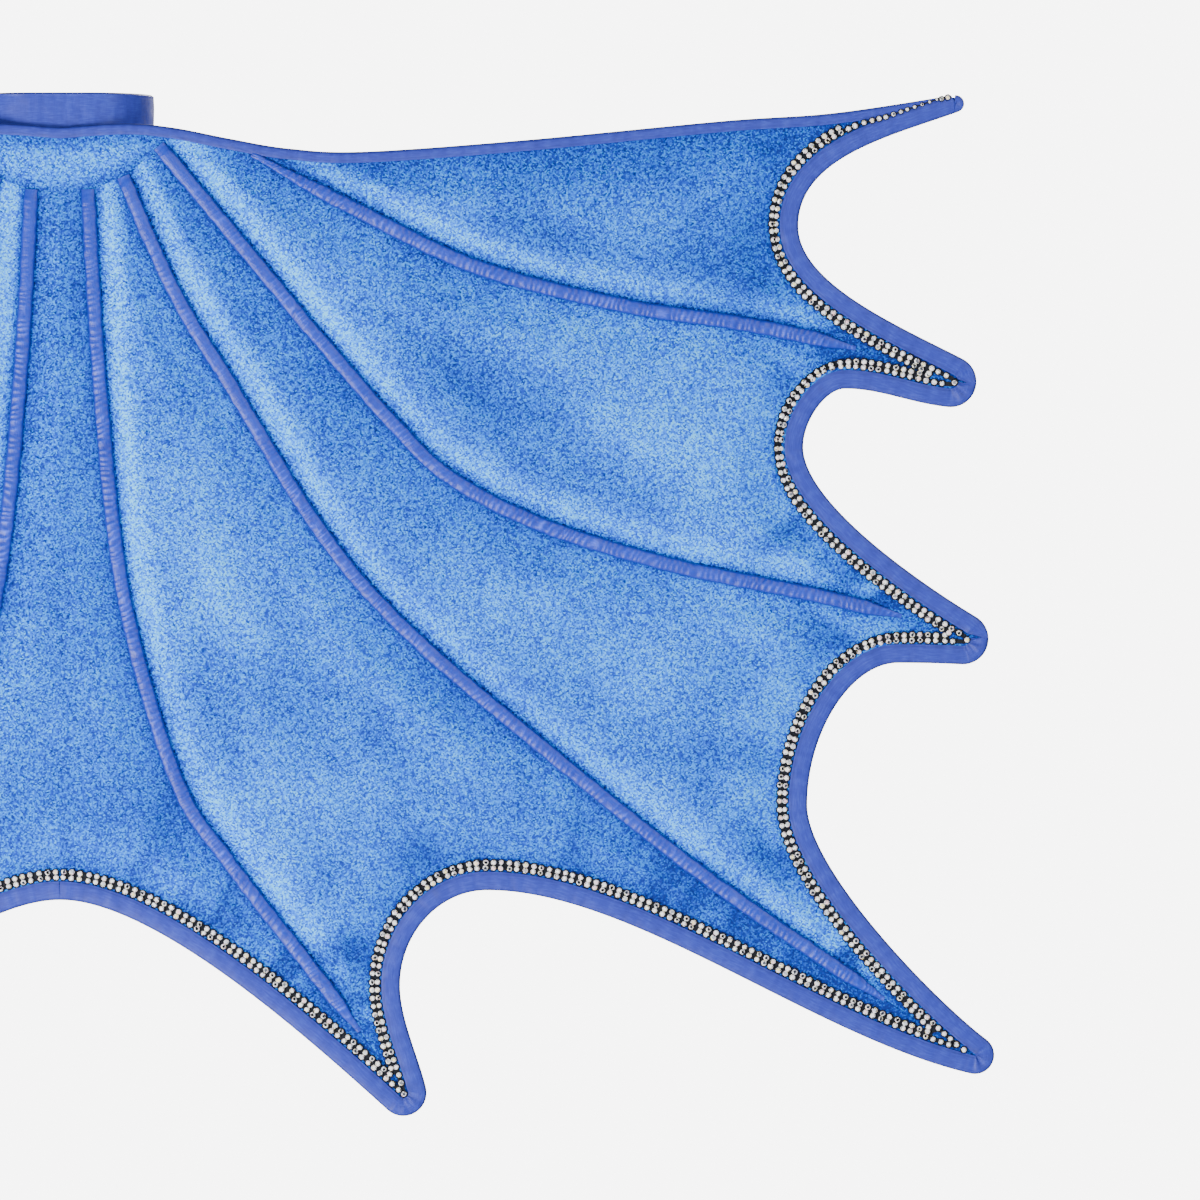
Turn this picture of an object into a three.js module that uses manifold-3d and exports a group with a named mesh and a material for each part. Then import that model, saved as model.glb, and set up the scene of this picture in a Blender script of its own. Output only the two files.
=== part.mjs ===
// A costume cape cut like a pair of dragon wings: glitter velvet panels between four ribs on
// each side, satin bound scallops trimmed with stones, and a neckband with a peel-off tab.
//
// Millimetres. X runs across the back (+X is the wearer's right), +Y points the way the wearer
// faces and Z is up. The origin is the middle of the neck opening, halfway up the neckband.
// The cape lies spread in a plane behind the neck. Layers are given as depths, counted from
// the lining's wearer side outwards, so a larger depth is a smaller Y.
import * as THREE from "three";
import { mergeVertices } from "three/addons/utils/BufferGeometryUtils.js";
import Module from "manifold-3d";

const wasm = await Module();
wasm.setup();

// ---- Overall size. The pattern below is drawn for 580 by 621 and graded to this size. ----
const HALF_SPAN = 580;
const DROP = 621;
const PATTERN_HALF_SPAN = 580;
const PATTERN_DROP = 621;

// ---- Clearances ----
const GAP = 0.3; // between two sewn pieces
const SHOULDER_GAP = 0.9; // between the back and a wing, which swings past it

// ---- Layers ----
const LINING_THICKNESS = 0.8;
const VELVET_THICKNESS = 1.2;

// ---- Edge bindings: a folded strip that grips the edge of the velvet and the lining ----
const BINDING_LEAF = 0.8; // thickness of each leaf
const BINDING_EDGE = 1.2; // thickness of the fold round the edge
const SCALLOP_BINDING_WIDTH = 11.5;
const TOP_BINDING_WIDTH = 6.8;

// ---- Stone trim, sewn on the velvet along the binding's inner edge ----
const TRIM_WIDTH = 8;
const TRIM_HEIGHT = 2.6;

// ---- Ribs: a stitched casing with a flat stay in it ----
const CASING_WIDTH = 9;
const CASING_HEIGHT = 3;
const CASING_WALL = 0.8; // over the stay
const STAY_WIDTH = 5.6;
const STAY_THICKNESS = 1.6;
const STAY_SETBACK = 5; // from each end of its casing

// ---- Neck yoke: a round piece that the ribs run up to ----
const YOKE_RADIUS = 78;
const YOKE_CENTRE_Z = 30;

// ---- Neckband: flat where it is sewn to the neckline, round at the sides and throat ----
const NECK_HALF_WIDTH = 54;
const NECK_HALF_DEPTH = 52;
const NECK_FLAT_HALF = 16;
const NECKBAND_THICKNESS = 2.4;
const NECKBAND_HEIGHT = 28;
const THROAT_HALF_GAP = 12;

// ---- Closure: hook tape on a tab peels off loop tape on the neckband's right end ----
const TAB_THICKNESS = 1.6;
const TAB_HEIGHT = 24;
const TAB_REACH = 40; // how far the tab passes the middle of the throat
const TAPE_THICKNESS = 0.8;
const TAPE_HEIGHT = 20;
const TAPE_START = 16;
const TAPE_END = 36;
const TAB_STEP = 0.45; // share of the tab's length in which it steps out over the tapes

// ---- Wrist loops: soft elastic, sewn behind the top edge ----
const WRIST_X = 430;
const WRIST_LOOP_RADIUS = 15; // of the round bottom, inside
const WRIST_LOOP_LENGTH = 52; // from the seam down to the round bottom
const WRIST_BAND_THICKNESS = 1.6;
const WRIST_BAND_WIDTH = 12;
const WRIST_SEAM_SLOPE = 1.6; // how much lower the inside of a loop starts, per band thickness

// ---- Fineness of the curves, in steps ----
const LEG_STEPS = 8;
const TIP_STEPS = 6;
const TOP_STEPS = 20;
const RIB_STEPS = 14;
const YOKE_STEPS = 36;
const NECK_STEPS = 8;

// ---- Solid cutters run past the faces that they cut ----
const CUTTER_MARGIN = 1;
const SLOT_OVERCUT = 0.4; // past the inner edge of a binding
const TIP_OVERRUN = 30; // past the outline, so that every line crosses it
const STRAIGHT_ON = 60; // past a leg, where an inset line leaves out the round tip

// ---- Depths worked out from the layers ----
const VELVET_DEPTH = LINING_THICKNESS + GAP;
const FACE_DEPTH = VELVET_DEPTH + VELVET_THICKNESS;
const RELIEF_DEPTH = FACE_DEPTH + GAP;
const BINDING_BACK_DEPTH = -GAP - BINDING_LEAF;
const BINDING_FRONT_DEPTH = RELIEF_DEPTH + BINDING_LEAF;
const TUCK = BINDING_EDGE + GAP; // how far inside the outline the cloth stops
const CAPE_Y = BINDING_BACK_DEPTH - GAP - NECKBAND_THICKNESS - NECK_HALF_DEPTH;
const CUT_BACK_DEPTH = BINDING_BACK_DEPTH - CUTTER_MARGIN;
const CUT_FRONT_DEPTH = RELIEF_DEPTH + CASING_HEIGHT + CUTTER_MARGIN;

// ---- The pattern of the right half, as X and Z ----
// Rounded tips, from the top one (A) to the bottom one (E).
const TIPS = {
  A: { x: 555.5, z: 6.8, radius: 5.4 },
  B: { x: 552.5, z: -165.5, radius: 16 },
  C: { x: 560, z: -325, radius: 16 },
  D: { x: 567.5, z: -583, radius: 12 },
  E: { x: 213, z: -606.5, radius: 14.5 },
};

// The top edge, from the middle of the neckline to tip A, where it ends along the heading.
const TOP_EDGE = [
  [0, -8],
  [40, -5.5],
  [70, -8],
  [106, -15],
  [142, -21],
  [188, -23],
  [286, -16],
  [411, -4],
  [480, 1],
];
const TOP_EDGE_HEADING = 10;

// Each scallop leaves a tip along a heading, passes its knots and arrives at the next tip.
// A knot is X, Z, heading, and how far its handles pull before and after it. The first and
// last numbers are the pulls at the tips. Headings are in degrees, counted from +X towards +Z.
const SCALLOPS = [
  { from: "A", leave: 200, pull: 43, knots: [[458, -69, -90, 43, 35]], end: 47, arrive: -27, to: "B" },
  {
    from: "B",
    leave: 174,
    pull: 24,
    knots: [
      [487, -170, 180, 22, 12],
      [461, -206, -90, 16, 34],
    ],
    end: 42,
    arrive: -31,
    to: "C",
  },
  {
    from: "C",
    leave: 177,
    pull: 14,
    knots: [
      [520, -340, 180, 14, 30],
      [463.5, -428, -90, 44, 40],
    ],
    end: 40,
    arrive: -37,
    to: "D",
  },
  {
    from: "D",
    leave: 167,
    pull: 100,
    knots: [
      [265, -481, 180, 90, 30],
      [211, -540, -90, 32, 20],
    ],
    end: 20,
    arrive: -76,
    to: "E",
  },
];

// The arch between the two lowest tips, from tip E to the middle.
const ARCH = { from: "E", leave: 138, pull: 60, top: [0, -487], end: 60 };

// Rib centre lines, from the neck or the top edge to the end of a tip.
const RIBS = [
  [
    [92, -9],
    [125, -28],
    [178, -56],
    [257, -94],
    [347, -118],
    [430, -131],
    [509, -149],
    [568, -168],
  ],
  [
    [56, -13],
    [106, -73],
    [158, -136],
    [208, -193],
    [242, -225],
    [300, -255],
    [382, -280],
    [477, -300],
    [575.5, -325],
  ],
  [
    [34, -26],
    [70, -108],
    [106, -168],
    [162, -259],
    [216, -321],
    [305, -397],
    [401, -473],
    [509, -547],
    [577.5, -589.5],
  ],
  [
    [17, -36],
    [25, -170],
    [40, -300],
    [72, -412],
    [106, -465],
    [147, -518],
    [197, -583],
    [221.7, -618],
  ],
];

// ---- Materials ----
const cloth = (color, roughness) => new THREE.MeshStandardMaterial({ color, roughness, metalness: 0 });
const MATERIALS = {
  velvet: cloth(0x4f8fe0, 0.55),
  satin: cloth(0x4b69cd, 0.4),
  ribSatin: cloth(0x4f74d7, 0.35),
  lining: cloth(0x3f62c0, 0.4),
  trim: new THREE.MeshStandardMaterial({ color: 0xc9ccd2, roughness: 0.15, metalness: 0.3 }),
  stay: cloth(0xe8e8e4, 0.5),
  elastic: cloth(0x2f4ea8, 0.8),
  tape: cloth(0x25408f, 0.9),
};

// ---- Polylines in the plane of the cape ----

const point = (x, z) => new THREE.Vector2(x, z);
const graded = ([x, z]) => point((x * HALF_SPAN) / PATTERN_HALF_SPAN, (z * DROP) / PATTERN_DROP);
const headingOf = (degrees) =>
  point(Math.cos((degrees * Math.PI) / 180), Math.sin((degrees * Math.PI) / 180));
const mirrored = (points) => points.map((p) => point(-p.x, p.y));
const reversed = (points) => [...points].reverse();

// Leaves out each point that lies on the one before it, also across the end of an outline.
const SAME_POINT = 0.02;
const cleaned = (points) => points.filter((p, i) => i === 0 || p.distanceTo(points[i - 1]) > SAME_POINT);
const outlined = (points) => points.filter((p, i) => p.distanceTo(points.at(i - 1)) > SAME_POINT);

// The line moved to its left by a distance, or to its right by a negative one.
function shifted(points, distance) {
  return points.map((p, i) => {
    const before = points[Math.max(i - 1, 0)];
    const after = points[Math.min(i + 1, points.length - 1)];
    const along = after.clone().sub(before).normalize();
    return point(p.x - along.y * distance, p.y + along.x * distance);
  });
}

// The line with a straight piece added at its end.
function extended(points, length) {
  const [before, last] = points.slice(-2);
  return [...points, last.clone().add(last.clone().sub(before).setLength(length))];
}

// Where line a first meets line b: the point, and how many of a's points come before it.
function meeting(a, b) {
  for (let i = 1; i < a.length; i++) {
    const step = a[i].clone().sub(a[i - 1]);
    const shares = [];
    for (let j = 1; j < b.length; j++) {
      const other = b[j].clone().sub(b[j - 1]);
      const between = b[j - 1].clone().sub(a[i - 1]);
      const turn = step.cross(other);
      const share = between.cross(other) / turn;
      const otherShare = between.cross(step) / turn;
      if (share >= 0 && share <= 1 && otherShare >= 0 && otherShare <= 1) shares.push(share);
    }
    if (shares.length) {
      const share = Math.min(...shares);
      return { point: a[i - 1].clone().addScaledVector(step, share), before: i, along: i - 1 + share };
    }
  }
  throw new Error("two lines that bound a piece don't meet");
}

// The part of a line up to where it first meets another.
function upTo(line, stop) {
  const met = meeting(line, stop);
  return [...line.slice(0, met.before), met.point];
}

// The part of a line round one of its points, from where it meets one line to where it meets
// another.
function between(line, middle, from, to) {
  const back = upTo(reversed(line.slice(0, middle + 1)), from);
  return [...reversed(back), ...upTo(line.slice(middle), to).slice(1)];
}

// ---- The outline ----

const grade = Math.min(HALF_SPAN / PATTERN_HALF_SPAN, DROP / PATTERN_DROP);
const tipRadius = (tip) => tip.radius * grade;
const tipCentre = (tip) => graded([tip.x, tip.z]);

// The point of a tip that the outline passes along a heading, with the cape on its right.
const tipPoint = (tip, heading) => tipCentre(tip).addScaledVector(headingOf(heading + 90), tipRadius(tip));

// The round end of a tip, clockwise from one heading to another.
function tipArc(tip, arrive, leave) {
  const turn = (((arrive - leave) % 360) + 360) % 360;
  const steps = Array.from({ length: TIP_STEPS + 1 }, (_, i) => arrive - (turn * i) / TIP_STEPS);
  return steps.map((heading) => tipPoint(tip, heading));
}

// A smooth line through knots {at, heading, before, after}.
function smoothLine(knots, steps) {
  const points = [knots[0].at];
  for (let i = 1; i < knots.length; i++) {
    const [a, b] = [knots[i - 1], knots[i]];
    const curve = new THREE.CubicBezierCurve(
      a.at,
      a.at.clone().addScaledVector(headingOf(a.heading), a.after * grade),
      b.at.clone().addScaledVector(headingOf(b.heading), -b.before * grade),
      b.at,
    );
    points.push(...curve.getPoints(steps).slice(1));
  }
  return points;
}

const topKnots = [...TOP_EDGE.map(graded), tipPoint(TIPS.A, TOP_EDGE_HEADING)];
const topEdge = new THREE.SplineCurve(topKnots).getSpacedPoints(TOP_STEPS);

const arrivals = { A: TOP_EDGE_HEADING };
SCALLOPS.forEach((s) => (arrivals[s.to] = s.arrive));
const departures = { E: ARCH.leave };
SCALLOPS.forEach((s) => (departures[s.from] = s.leave));
const arcOf = (name) => tipArc(TIPS[name], arrivals[name], departures[name]);

const legs = SCALLOPS.map((s) => {
  const inner = s.knots.map(([x, z, heading, before, after]) => {
    return { at: graded([x, z]), heading, before, after };
  });
  const first = { at: tipPoint(TIPS[s.from], s.leave), heading: s.leave, after: s.pull };
  const last = { at: tipPoint(TIPS[s.to], s.arrive), heading: s.arrive, before: s.end };
  return smoothLine([first, ...inner, last], LEG_STEPS);
});

// An edge is its own legs, what comes round the tips before and after them, and the radius of
// its smaller tip.
const scallopEdges = SCALLOPS.map((s, i) => ({
  before: i === 0 ? arcOf("A") : [...legs[i - 1], ...arcOf(s.from)],
  legs: legs[i],
  after: arcOf(s.to),
  round: Math.min(tipRadius(TIPS[s.from]), tipRadius(TIPS[s.to])),
}));

const archLeg = smoothLine(
  [
    { at: tipPoint(TIPS.E, ARCH.leave), heading: ARCH.leave, after: ARCH.pull },
    { at: graded(ARCH.top), heading: 180, before: ARCH.end },
  ],
  LEG_STEPS,
);
const roundTipE = [...legs[3], ...arcOf("E")];
const archEdge = {
  before: roundTipE,
  legs: [...archLeg, ...reversed(mirrored(archLeg)).slice(1)],
  after: reversed(mirrored(roundTipE)),
  round: tipRadius(TIPS.E),
};

const tipsAndLegs = SCALLOPS.flatMap((s, i) => [...arcOf(s.from), ...legs[i]]);
const wingEdge = cleaned([...topEdge, ...tipsAndLegs, ...arcOf("E")]);

// ---- Rib lines and the lines that the cloth is cut to ----

const ribLines = RIBS.map((knots) => new THREE.SplineCurve(knots.map(graded)).getSpacedPoints(RIB_STEPS));
const cutLines = ribLines.map((line) => extended(line, TIP_OVERRUN));
const aboveRib = (i) => shifted(cutLines[i], GAP / 2);
const belowRib = (i) => shifted(cutLines[i], -GAP / 2);
const backSeam = shifted(cutLines[3], CASING_WIDTH / 2);
const wingSeam = shifted(cutLines[3], CASING_WIDTH / 2 + SHOULDER_GAP);

// The line above and the line below each scallop's pieces.
const scallopTop = [null, belowRib(0), belowRib(1), belowRib(2)];
const scallopBottom = [aboveRib(0), aboveRib(1), aboveRib(2), wingSeam];

// ---- Solids ----

function toSolid(geometry) {
  const bare = geometry.clone().deleteAttribute("normal").deleteAttribute("uv");
  const merged = mergeVertices(bare, 1e-3);
  return new wasm.Manifold(
    new wasm.Mesh({
      numProp: 3,
      vertProperties: merged.attributes.position.array,
      triVerts: new Uint32Array(merged.index.array),
    }),
  );
}

function toGeometry(solid) {
  const made = solid.getMesh();
  const geometry = new THREE.BufferGeometry()
    .setAttribute("position", new THREE.BufferAttribute(new Float32Array(made.vertProperties), 3))
    .setIndex(new THREE.BufferAttribute(made.triVerts, 1))
    .toNonIndexed();
  geometry.computeVertexNormals();
  return geometry;
}

// A flat piece of the cape with an outline in X and Z, between two depths.
function plate(outline, nearDepth, farDepth) {
  const geometry = new THREE.ExtrudeGeometry(new THREE.Shape(outlined(outline)), {
    depth: farDepth - nearDepth,
    bevelEnabled: false,
  });
  return geometry.rotateX(Math.PI / 2).translate(0, CAPE_Y - nearDepth, 0);
}

// An upright piece with an outline in X and Y, between two heights.
function upright(outline, bottom, top) {
  const shape = new THREE.Shape(outlined(outline));
  const options = { depth: top - bottom, bevelEnabled: false };
  return new THREE.ExtrudeGeometry(shape, options).translate(0, 0, bottom);
}

// A geometry with others taken out of it.
function without(geometry, ...cutters) {
  const solid = cutters.reduce((left, cutter) => left.subtract(toSolid(cutter)), toSolid(geometry));
  return toGeometry(solid);
}

// The disc of the yoke, grown by a margin, through all the layers.
function yokeDisc(margin) {
  const disc = new THREE.Shape().absarc(0, YOKE_CENTRE_Z, YOKE_RADIUS + margin, 0, 2 * Math.PI);
  return plate(disc.getPoints(YOKE_STEPS).slice(0, -1), CUT_BACK_DEPTH, CUT_FRONT_DEPTH);
}

const withinYoke = (geometry) => toGeometry(toSolid(geometry).intersect(toSolid(yokeDisc(0))));

// The line at an inset from an edge. Deeper than the tips are round, it runs straight on.
function insetLine(edge, inset) {
  if (inset < edge.round) return shifted(cleaned([...edge.before, ...edge.legs, ...edge.after]), -inset);
  return shifted(extended(reversed(extended(reversed(edge.legs), STRAIGHT_ON)), STRAIGHT_ON), -inset);
}

// The line at an inset from an edge, cut off at two lines.
function insetBetween(edge, inset, from, to) {
  const skipped = inset < edge.round ? edge.before.length : 1;
  return between(insetLine(edge, inset), skipped + Math.floor(edge.legs.length / 2), from, to);
}

// How many of a line's points come before a place on it.
function placeOn(line, place) {
  const viaPlace = (i) => line[i - 1].distanceTo(place) + place.distanceTo(line[i]);
  const detour = (i) => viaPlace(i) - line[i - 1].distanceTo(line[i]);
  const steps = line.slice(1).map((_, i) => i + 1);
  return steps.reduce((best, i) => (detour(i) < detour(best) ? i : best));
}

// The points of a line between two places on it.
function stretch(line, start, end) {
  const [from, to] = [placeOn(line, start), placeOn(line, end)];
  return from < to ? line.slice(from, to) : reversed(line.slice(to, from));
}

// The strip of an edge between two insets, cut off at two lines.
function strip(edge, outer, inner, from, to) {
  const outerSide = insetBetween(edge, outer, from, to);
  const innerSide = reversed(insetBetween(edge, inner, from, to));
  const far = stretch(to, outerSide.at(-1), innerSide[0]);
  const near = stretch(from, innerSide.at(-1), outerSide[0]);
  return [...outerSide, ...far, ...innerSide, ...near];
}

function mesh(name, geometry, material) {
  const made = new THREE.Mesh(geometry, material);
  made.name = name;
  return made;
}

// ---- Edge bindings ----

// A folded strip: its full section, less the slot that the cloth sits in.
const folded = (outside, slot) =>
  without(
    plate(outside, BINDING_BACK_DEPTH, BINDING_FRONT_DEPTH),
    plate(slot, BINDING_BACK_DEPTH + BINDING_LEAF, RELIEF_DEPTH),
  );

const topLine = (inset) => extended(shifted(topEdge, -inset), TIP_OVERRUN);

// The line above scallop i's pieces. The first scallop runs up to the top edge, and an inset
// tells how far inside it.
const upperLine = (i, inset) => (i === 0 ? topLine(inset) : scallopTop[i]);

function scallopBinding(i, place) {
  const edge = scallopEdges[i];
  const outside = strip(edge, 0, SCALLOP_BINDING_WIDTH, upperLine(i, GAP / 2), scallopBottom[i]);
  const slotTop = i === 0 ? topLine(BINDING_EDGE) : cutLines[i - 1];
  const slotBottom = i === 3 ? backSeam : cutLines[i];
  const slot = strip(edge, BINDING_EDGE, SCALLOP_BINDING_WIDTH + SLOT_OVERCUT, slotTop, slotBottom);
  return folded(place(outside), place(slot));
}

// The strip of the top edge from the neck to where it meets the first scallop's binding.
function topStrip(outer, inner, clearance) {
  const stop = shifted(legs[0], -SCALLOP_BINDING_WIDTH - clearance);
  const sides = [outer, inner].map((inset) => upTo(extended(shifted(topEdge, -inset), TIP_OVERRUN), stop));
  return [...sides[0], ...reversed(sides[1])];
}

function topBinding(place) {
  const slot = topStrip(BINDING_EDGE, TOP_BINDING_WIDTH + SLOT_OVERCUT, 0);
  return without(folded(place(topStrip(0, TOP_BINDING_WIDTH, GAP)), place(slot)), yokeDisc(SHOULDER_GAP));
}

// The neckline's strip, on both sides of the middle, to points of the top edge past the yoke.
const NECKLINE_POINTS = 6;
function necklineStrip(outer, inner) {
  const sides = [outer, inner].map((inset) => {
    const acrossMiddle = shifted([...mirrored(topEdge.slice(1, 2)), ...topEdge], -inset);
    const right = acrossMiddle.slice(1, 1 + NECKLINE_POINTS);
    return [...reversed(mirrored(right)), ...right.slice(1)];
  });
  return [...sides[0], ...reversed(sides[1])];
}

const necklineBinding = () =>
  withinYoke(
    folded(
      necklineStrip(0, TOP_BINDING_WIDTH),
      necklineStrip(BINDING_EDGE, TOP_BINDING_WIDTH + SLOT_OVERCUT),
    ),
  );

// The strip of the arch, whose inner side may stop at another line than its outer side.
function archStrip(outer, inner, seam, innerSeam = seam) {
  const outerSide = insetBetween(archEdge, outer, seam, mirrored(seam));
  return [...outerSide, ...reversed(insetBetween(archEdge, inner, innerSeam, mirrored(innerSeam)))];
}

const centreBinding = () =>
  folded(
    archStrip(0, SCALLOP_BINDING_WIDTH, backSeam),
    archStrip(BINDING_EDGE, SCALLOP_BINDING_WIDTH + SLOT_OVERCUT, wingSeam),
  );

// ---- Stone trims ----

const TRIM_OUTER = SCALLOP_BINDING_WIDTH + GAP;
const TRIM_INNER = TRIM_OUTER + TRIM_WIDTH;
const trimPlate = (outline) => plate(outline, RELIEF_DEPTH, RELIEF_DEPTH + TRIM_HEIGHT);

const scallopTrim = (i, place) => {
  const top = upperLine(i, TOP_BINDING_WIDTH + GAP);
  return trimPlate(place(strip(scallopEdges[i], TRIM_OUTER, TRIM_INNER, top, scallopBottom[i])));
};

const centreTrim = () => trimPlate(archStrip(TRIM_OUTER, TRIM_INNER, backSeam, cutLines[3]));

// ---- Cloth ----

function velvetOutline(i) {
  if (i === 0) {
    // Above the first rib, which meets the top edge near the neck and tip B at the other end.
    const edge = shifted(cleaned([...topEdge, ...arcOf("A"), ...legs[0], ...arcOf("B")]), -TUCK);
    return ribCut(edge, aboveRib(0));
  }
  const edge = insetLine(scallopEdges[i], TUCK);
  const [upper, lower] = [scallopTop[i], scallopBottom[i]];
  const outside = insetBetween(scallopEdges[i], TUCK, upper, lower);
  const lowerSide = reversed(upTo(lower, edge));
  if (i > 1) return [...outside, ...lowerSide.slice(1), ...upTo(upper, edge)];
  // The second panel also has a short stretch of the top edge, between the yoke and rib 1.
  const top = shifted(topEdge, -TUCK);
  const start = upTo(top, upper);
  const onRib = meeting(upper, top);
  const rest = upTo(upper.slice(onRib.before), edge);
  return [...outside, ...lowerSide.slice(1), ...start, ...rest];
}

// What a line cuts off an edge that it crosses near both ends.
function ribCut(edge, line) {
  const lastMeeting = meeting(reversed(edge), line);
  const firstMeeting = meeting(edge, line);
  const kept = edge.slice(firstMeeting.before, edge.length - lastMeeting.before);
  const [near, far] = [meeting(line, edge), meeting(reversed(line), edge)];
  const along = line.slice(near.before, line.length - far.before);
  return [firstMeeting.point, ...kept, lastMeeting.point, ...reversed(along)];
}

const velvetPanel = (i, place) =>
  without(plate(place(velvetOutline(i)), VELVET_DEPTH, FACE_DEPTH), yokeDisc(SHOULDER_GAP));

function wingLining(place) {
  const edge = shifted(wingEdge, -TUCK);
  const met = meeting(reversed(edge), wingSeam);
  const outside = [...edge.slice(0, edge.length - met.before), met.point];
  const seam = reversed(upTo(wingSeam, edge.slice(edge.length - met.before - 1)));
  return without(plate(place([...outside, ...seam.slice(1)]), 0, LINING_THICKNESS), yokeDisc(SHOULDER_GAP));
}

// The middle of the back, between the two seams, below the yoke's centre.
function centreOutline() {
  const edge = insetLine(archEdge, TUCK);
  const seam = upTo(backSeam, edge);
  const arch = insetBetween(archEdge, TUCK, backSeam, mirrored(backSeam));
  return [...arch, ...reversed(mirrored(seam)).slice(1), ...seam.slice(0, -1)];
}

const centreVelvet = () => without(plate(centreOutline(), VELVET_DEPTH, FACE_DEPTH), yokeDisc(GAP));

// The yoke's cloth: its disc, below the neckline.
function yokeCloth(nearDepth, farDepth) {
  return withinYoke(plate(necklineStrip(TUCK, YOKE_RADIUS + YOKE_CENTRE_Z), nearDepth, farDepth));
}

const centreLining = () => {
  const back = toSolid(plate(centreOutline(), 0, LINING_THICKNESS));
  return toGeometry(back.add(toSolid(yokeCloth(0, LINING_THICKNESS))));
};

// ---- Ribs ----

// How much of rib i its casing covers: up to the first place where its sides reach a trim.
function casedShare(i) {
  const side = CASING_WIDTH / 2 + GAP;
  const above = insetLine(scallopEdges[i], TRIM_INNER);
  const below = insetLine(i === 3 ? archEdge : scallopEdges[i + 1], TRIM_INNER);
  const [upper, lower] = [shifted(cutLines[i], side), shifted(cutLines[i], -side)];
  return Math.min(meeting(upper, above).along, meeting(lower, below).along) / RIB_STEPS;
}

// The band of rib i with a width, shortened at its tip end.
function ribBand(i, width, setback) {
  const line = new THREE.SplineCurve(RIBS[i].map(graded));
  const end = casedShare(i);
  const centre = Array.from({ length: RIB_STEPS + 1 }, (_, k) => line.getPointAt((end * k) / RIB_STEPS));
  const [before, last] = centre.slice(-2);
  last.lerp(before, setback / last.distanceTo(before));
  return [...shifted(centre, width / 2), ...reversed(shifted(centre, -width / 2))];
}

// Rib 1 starts under the top binding, and the others at the yoke.
function ribEnd(i, place, setback) {
  if (i > 0) return yokeDisc((i === 3 ? GAP : SHOULDER_GAP) + setback);
  const above = shifted(topEdge, CASING_WIDTH * 2);
  const below = shifted(topEdge, -TOP_BINDING_WIDTH - GAP - setback / 2);
  return plate(place([...above, ...reversed(below)]), RELIEF_DEPTH - CUTTER_MARGIN, CUT_FRONT_DEPTH);
}

function ribCasing(i, place) {
  const channel = plate(
    place(ribBand(i, STAY_WIDTH + 2 * GAP, 0)),
    RELIEF_DEPTH - CUTTER_MARGIN,
    RELIEF_DEPTH + CASING_HEIGHT - CASING_WALL,
  );
  const body = plate(place(ribBand(i, CASING_WIDTH, GAP)), RELIEF_DEPTH, RELIEF_DEPTH + CASING_HEIGHT);
  return without(body, channel, ribEnd(i, place, 0));
}

function ribStay(i, place) {
  const top = RELIEF_DEPTH + CASING_HEIGHT - CASING_WALL - GAP;
  const band = plate(place(ribBand(i, STAY_WIDTH, STAY_SETBACK)), top - STAY_THICKNESS, top);
  return without(band, ribEnd(i, place, STAY_SETBACK));
}

// ---- Neckband and closure ----

// Where the neck opening is widest, and how far the throat lies in front of that.
const NECK_CENTRE_Y = -NECK_HALF_DEPTH + NECK_HALF_WIDTH - NECK_FLAT_HALF;
const THROAT_RISE = NECK_HALF_DEPTH - NECK_CENTRE_Y;

// The neckband's line seen from above, from the left throat end round the back to the right
// one, at a distance outside its inner face.
function neckLine(distance) {
  const throat = Math.acos(THROAT_HALF_GAP / NECK_HALF_WIDTH);
  const side = new THREE.EllipseCurve(0, NECK_CENTRE_Y, NECK_HALF_WIDTH, THROAT_RISE, 0, throat);
  const radius = NECK_HALF_WIDTH - NECK_FLAT_HALF;
  const corner = new THREE.EllipseCurve(NECK_FLAT_HALF, NECK_CENTRE_Y, radius, radius, -Math.PI / 2, 0);
  const right = cleaned([...corner.getPoints(NECK_STEPS), ...side.getPoints(NECK_STEPS)]);
  return shifted([...reversed(mirrored(right)), ...right], -distance);
}

function neckband() {
  const outline = [...neckLine(0), ...reversed(neckLine(NECKBAND_THICKNESS))];
  return upright(outline, -NECKBAND_HEIGHT / 2, NECKBAND_HEIGHT / 2);
}

// The throat's curve from one X to another, at a distance outside the neckband's inner face.
function throatLine(fromX, toX, distanceAt) {
  return Array.from({ length: NECK_STEPS + 1 }, (_, k) => {
    const share = k / NECK_STEPS;
    const x = fromX + (toX - fromX) * share;
    const y = THROAT_RISE * Math.sqrt(1 - (x / NECK_HALF_WIDTH) ** 2);
    const normal = point(x / NECK_HALF_WIDTH ** 2, y / THROAT_RISE ** 2).normalize();
    return point(x, NECK_CENTRE_Y + y).addScaledVector(normal, distanceAt(share));
  });
}

const LOOP_TAPE_OUT = NECKBAND_THICKNESS + GAP;
const HOOK_TAPE_OUT = LOOP_TAPE_OUT + TAPE_THICKNESS + GAP;
const TAB_OUT = HOOK_TAPE_OUT + TAPE_THICKNESS + GAP;

const tape = (out) =>
  upright(
    [
      ...throatLine(TAPE_START, TAPE_END, () => out),
      ...reversed(throatLine(TAPE_START, TAPE_END, () => out + TAPE_THICKNESS)),
    ],
    -TAPE_HEIGHT / 2,
    TAPE_HEIGHT / 2,
  );

// The tab starts against the neckband's left end and steps outwards over the tapes.
function closureTab() {
  const start = -THROAT_HALF_GAP + GAP;
  const rise = (share) => {
    const eased = THREE.MathUtils.smoothstep(share, 0, TAB_STEP);
    return LOOP_TAPE_OUT + (TAB_OUT - LOOP_TAPE_OUT) * eased;
  };
  const inside = throatLine(start, TAB_REACH, rise);
  const outside = throatLine(start, TAB_REACH, (share) => rise(share) + TAB_THICKNESS);
  return upright([...inside, ...reversed(outside)], -TAB_HEIGHT / 2, TAB_HEIGHT / 2);
}

// ---- Wrist loops ----

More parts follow.
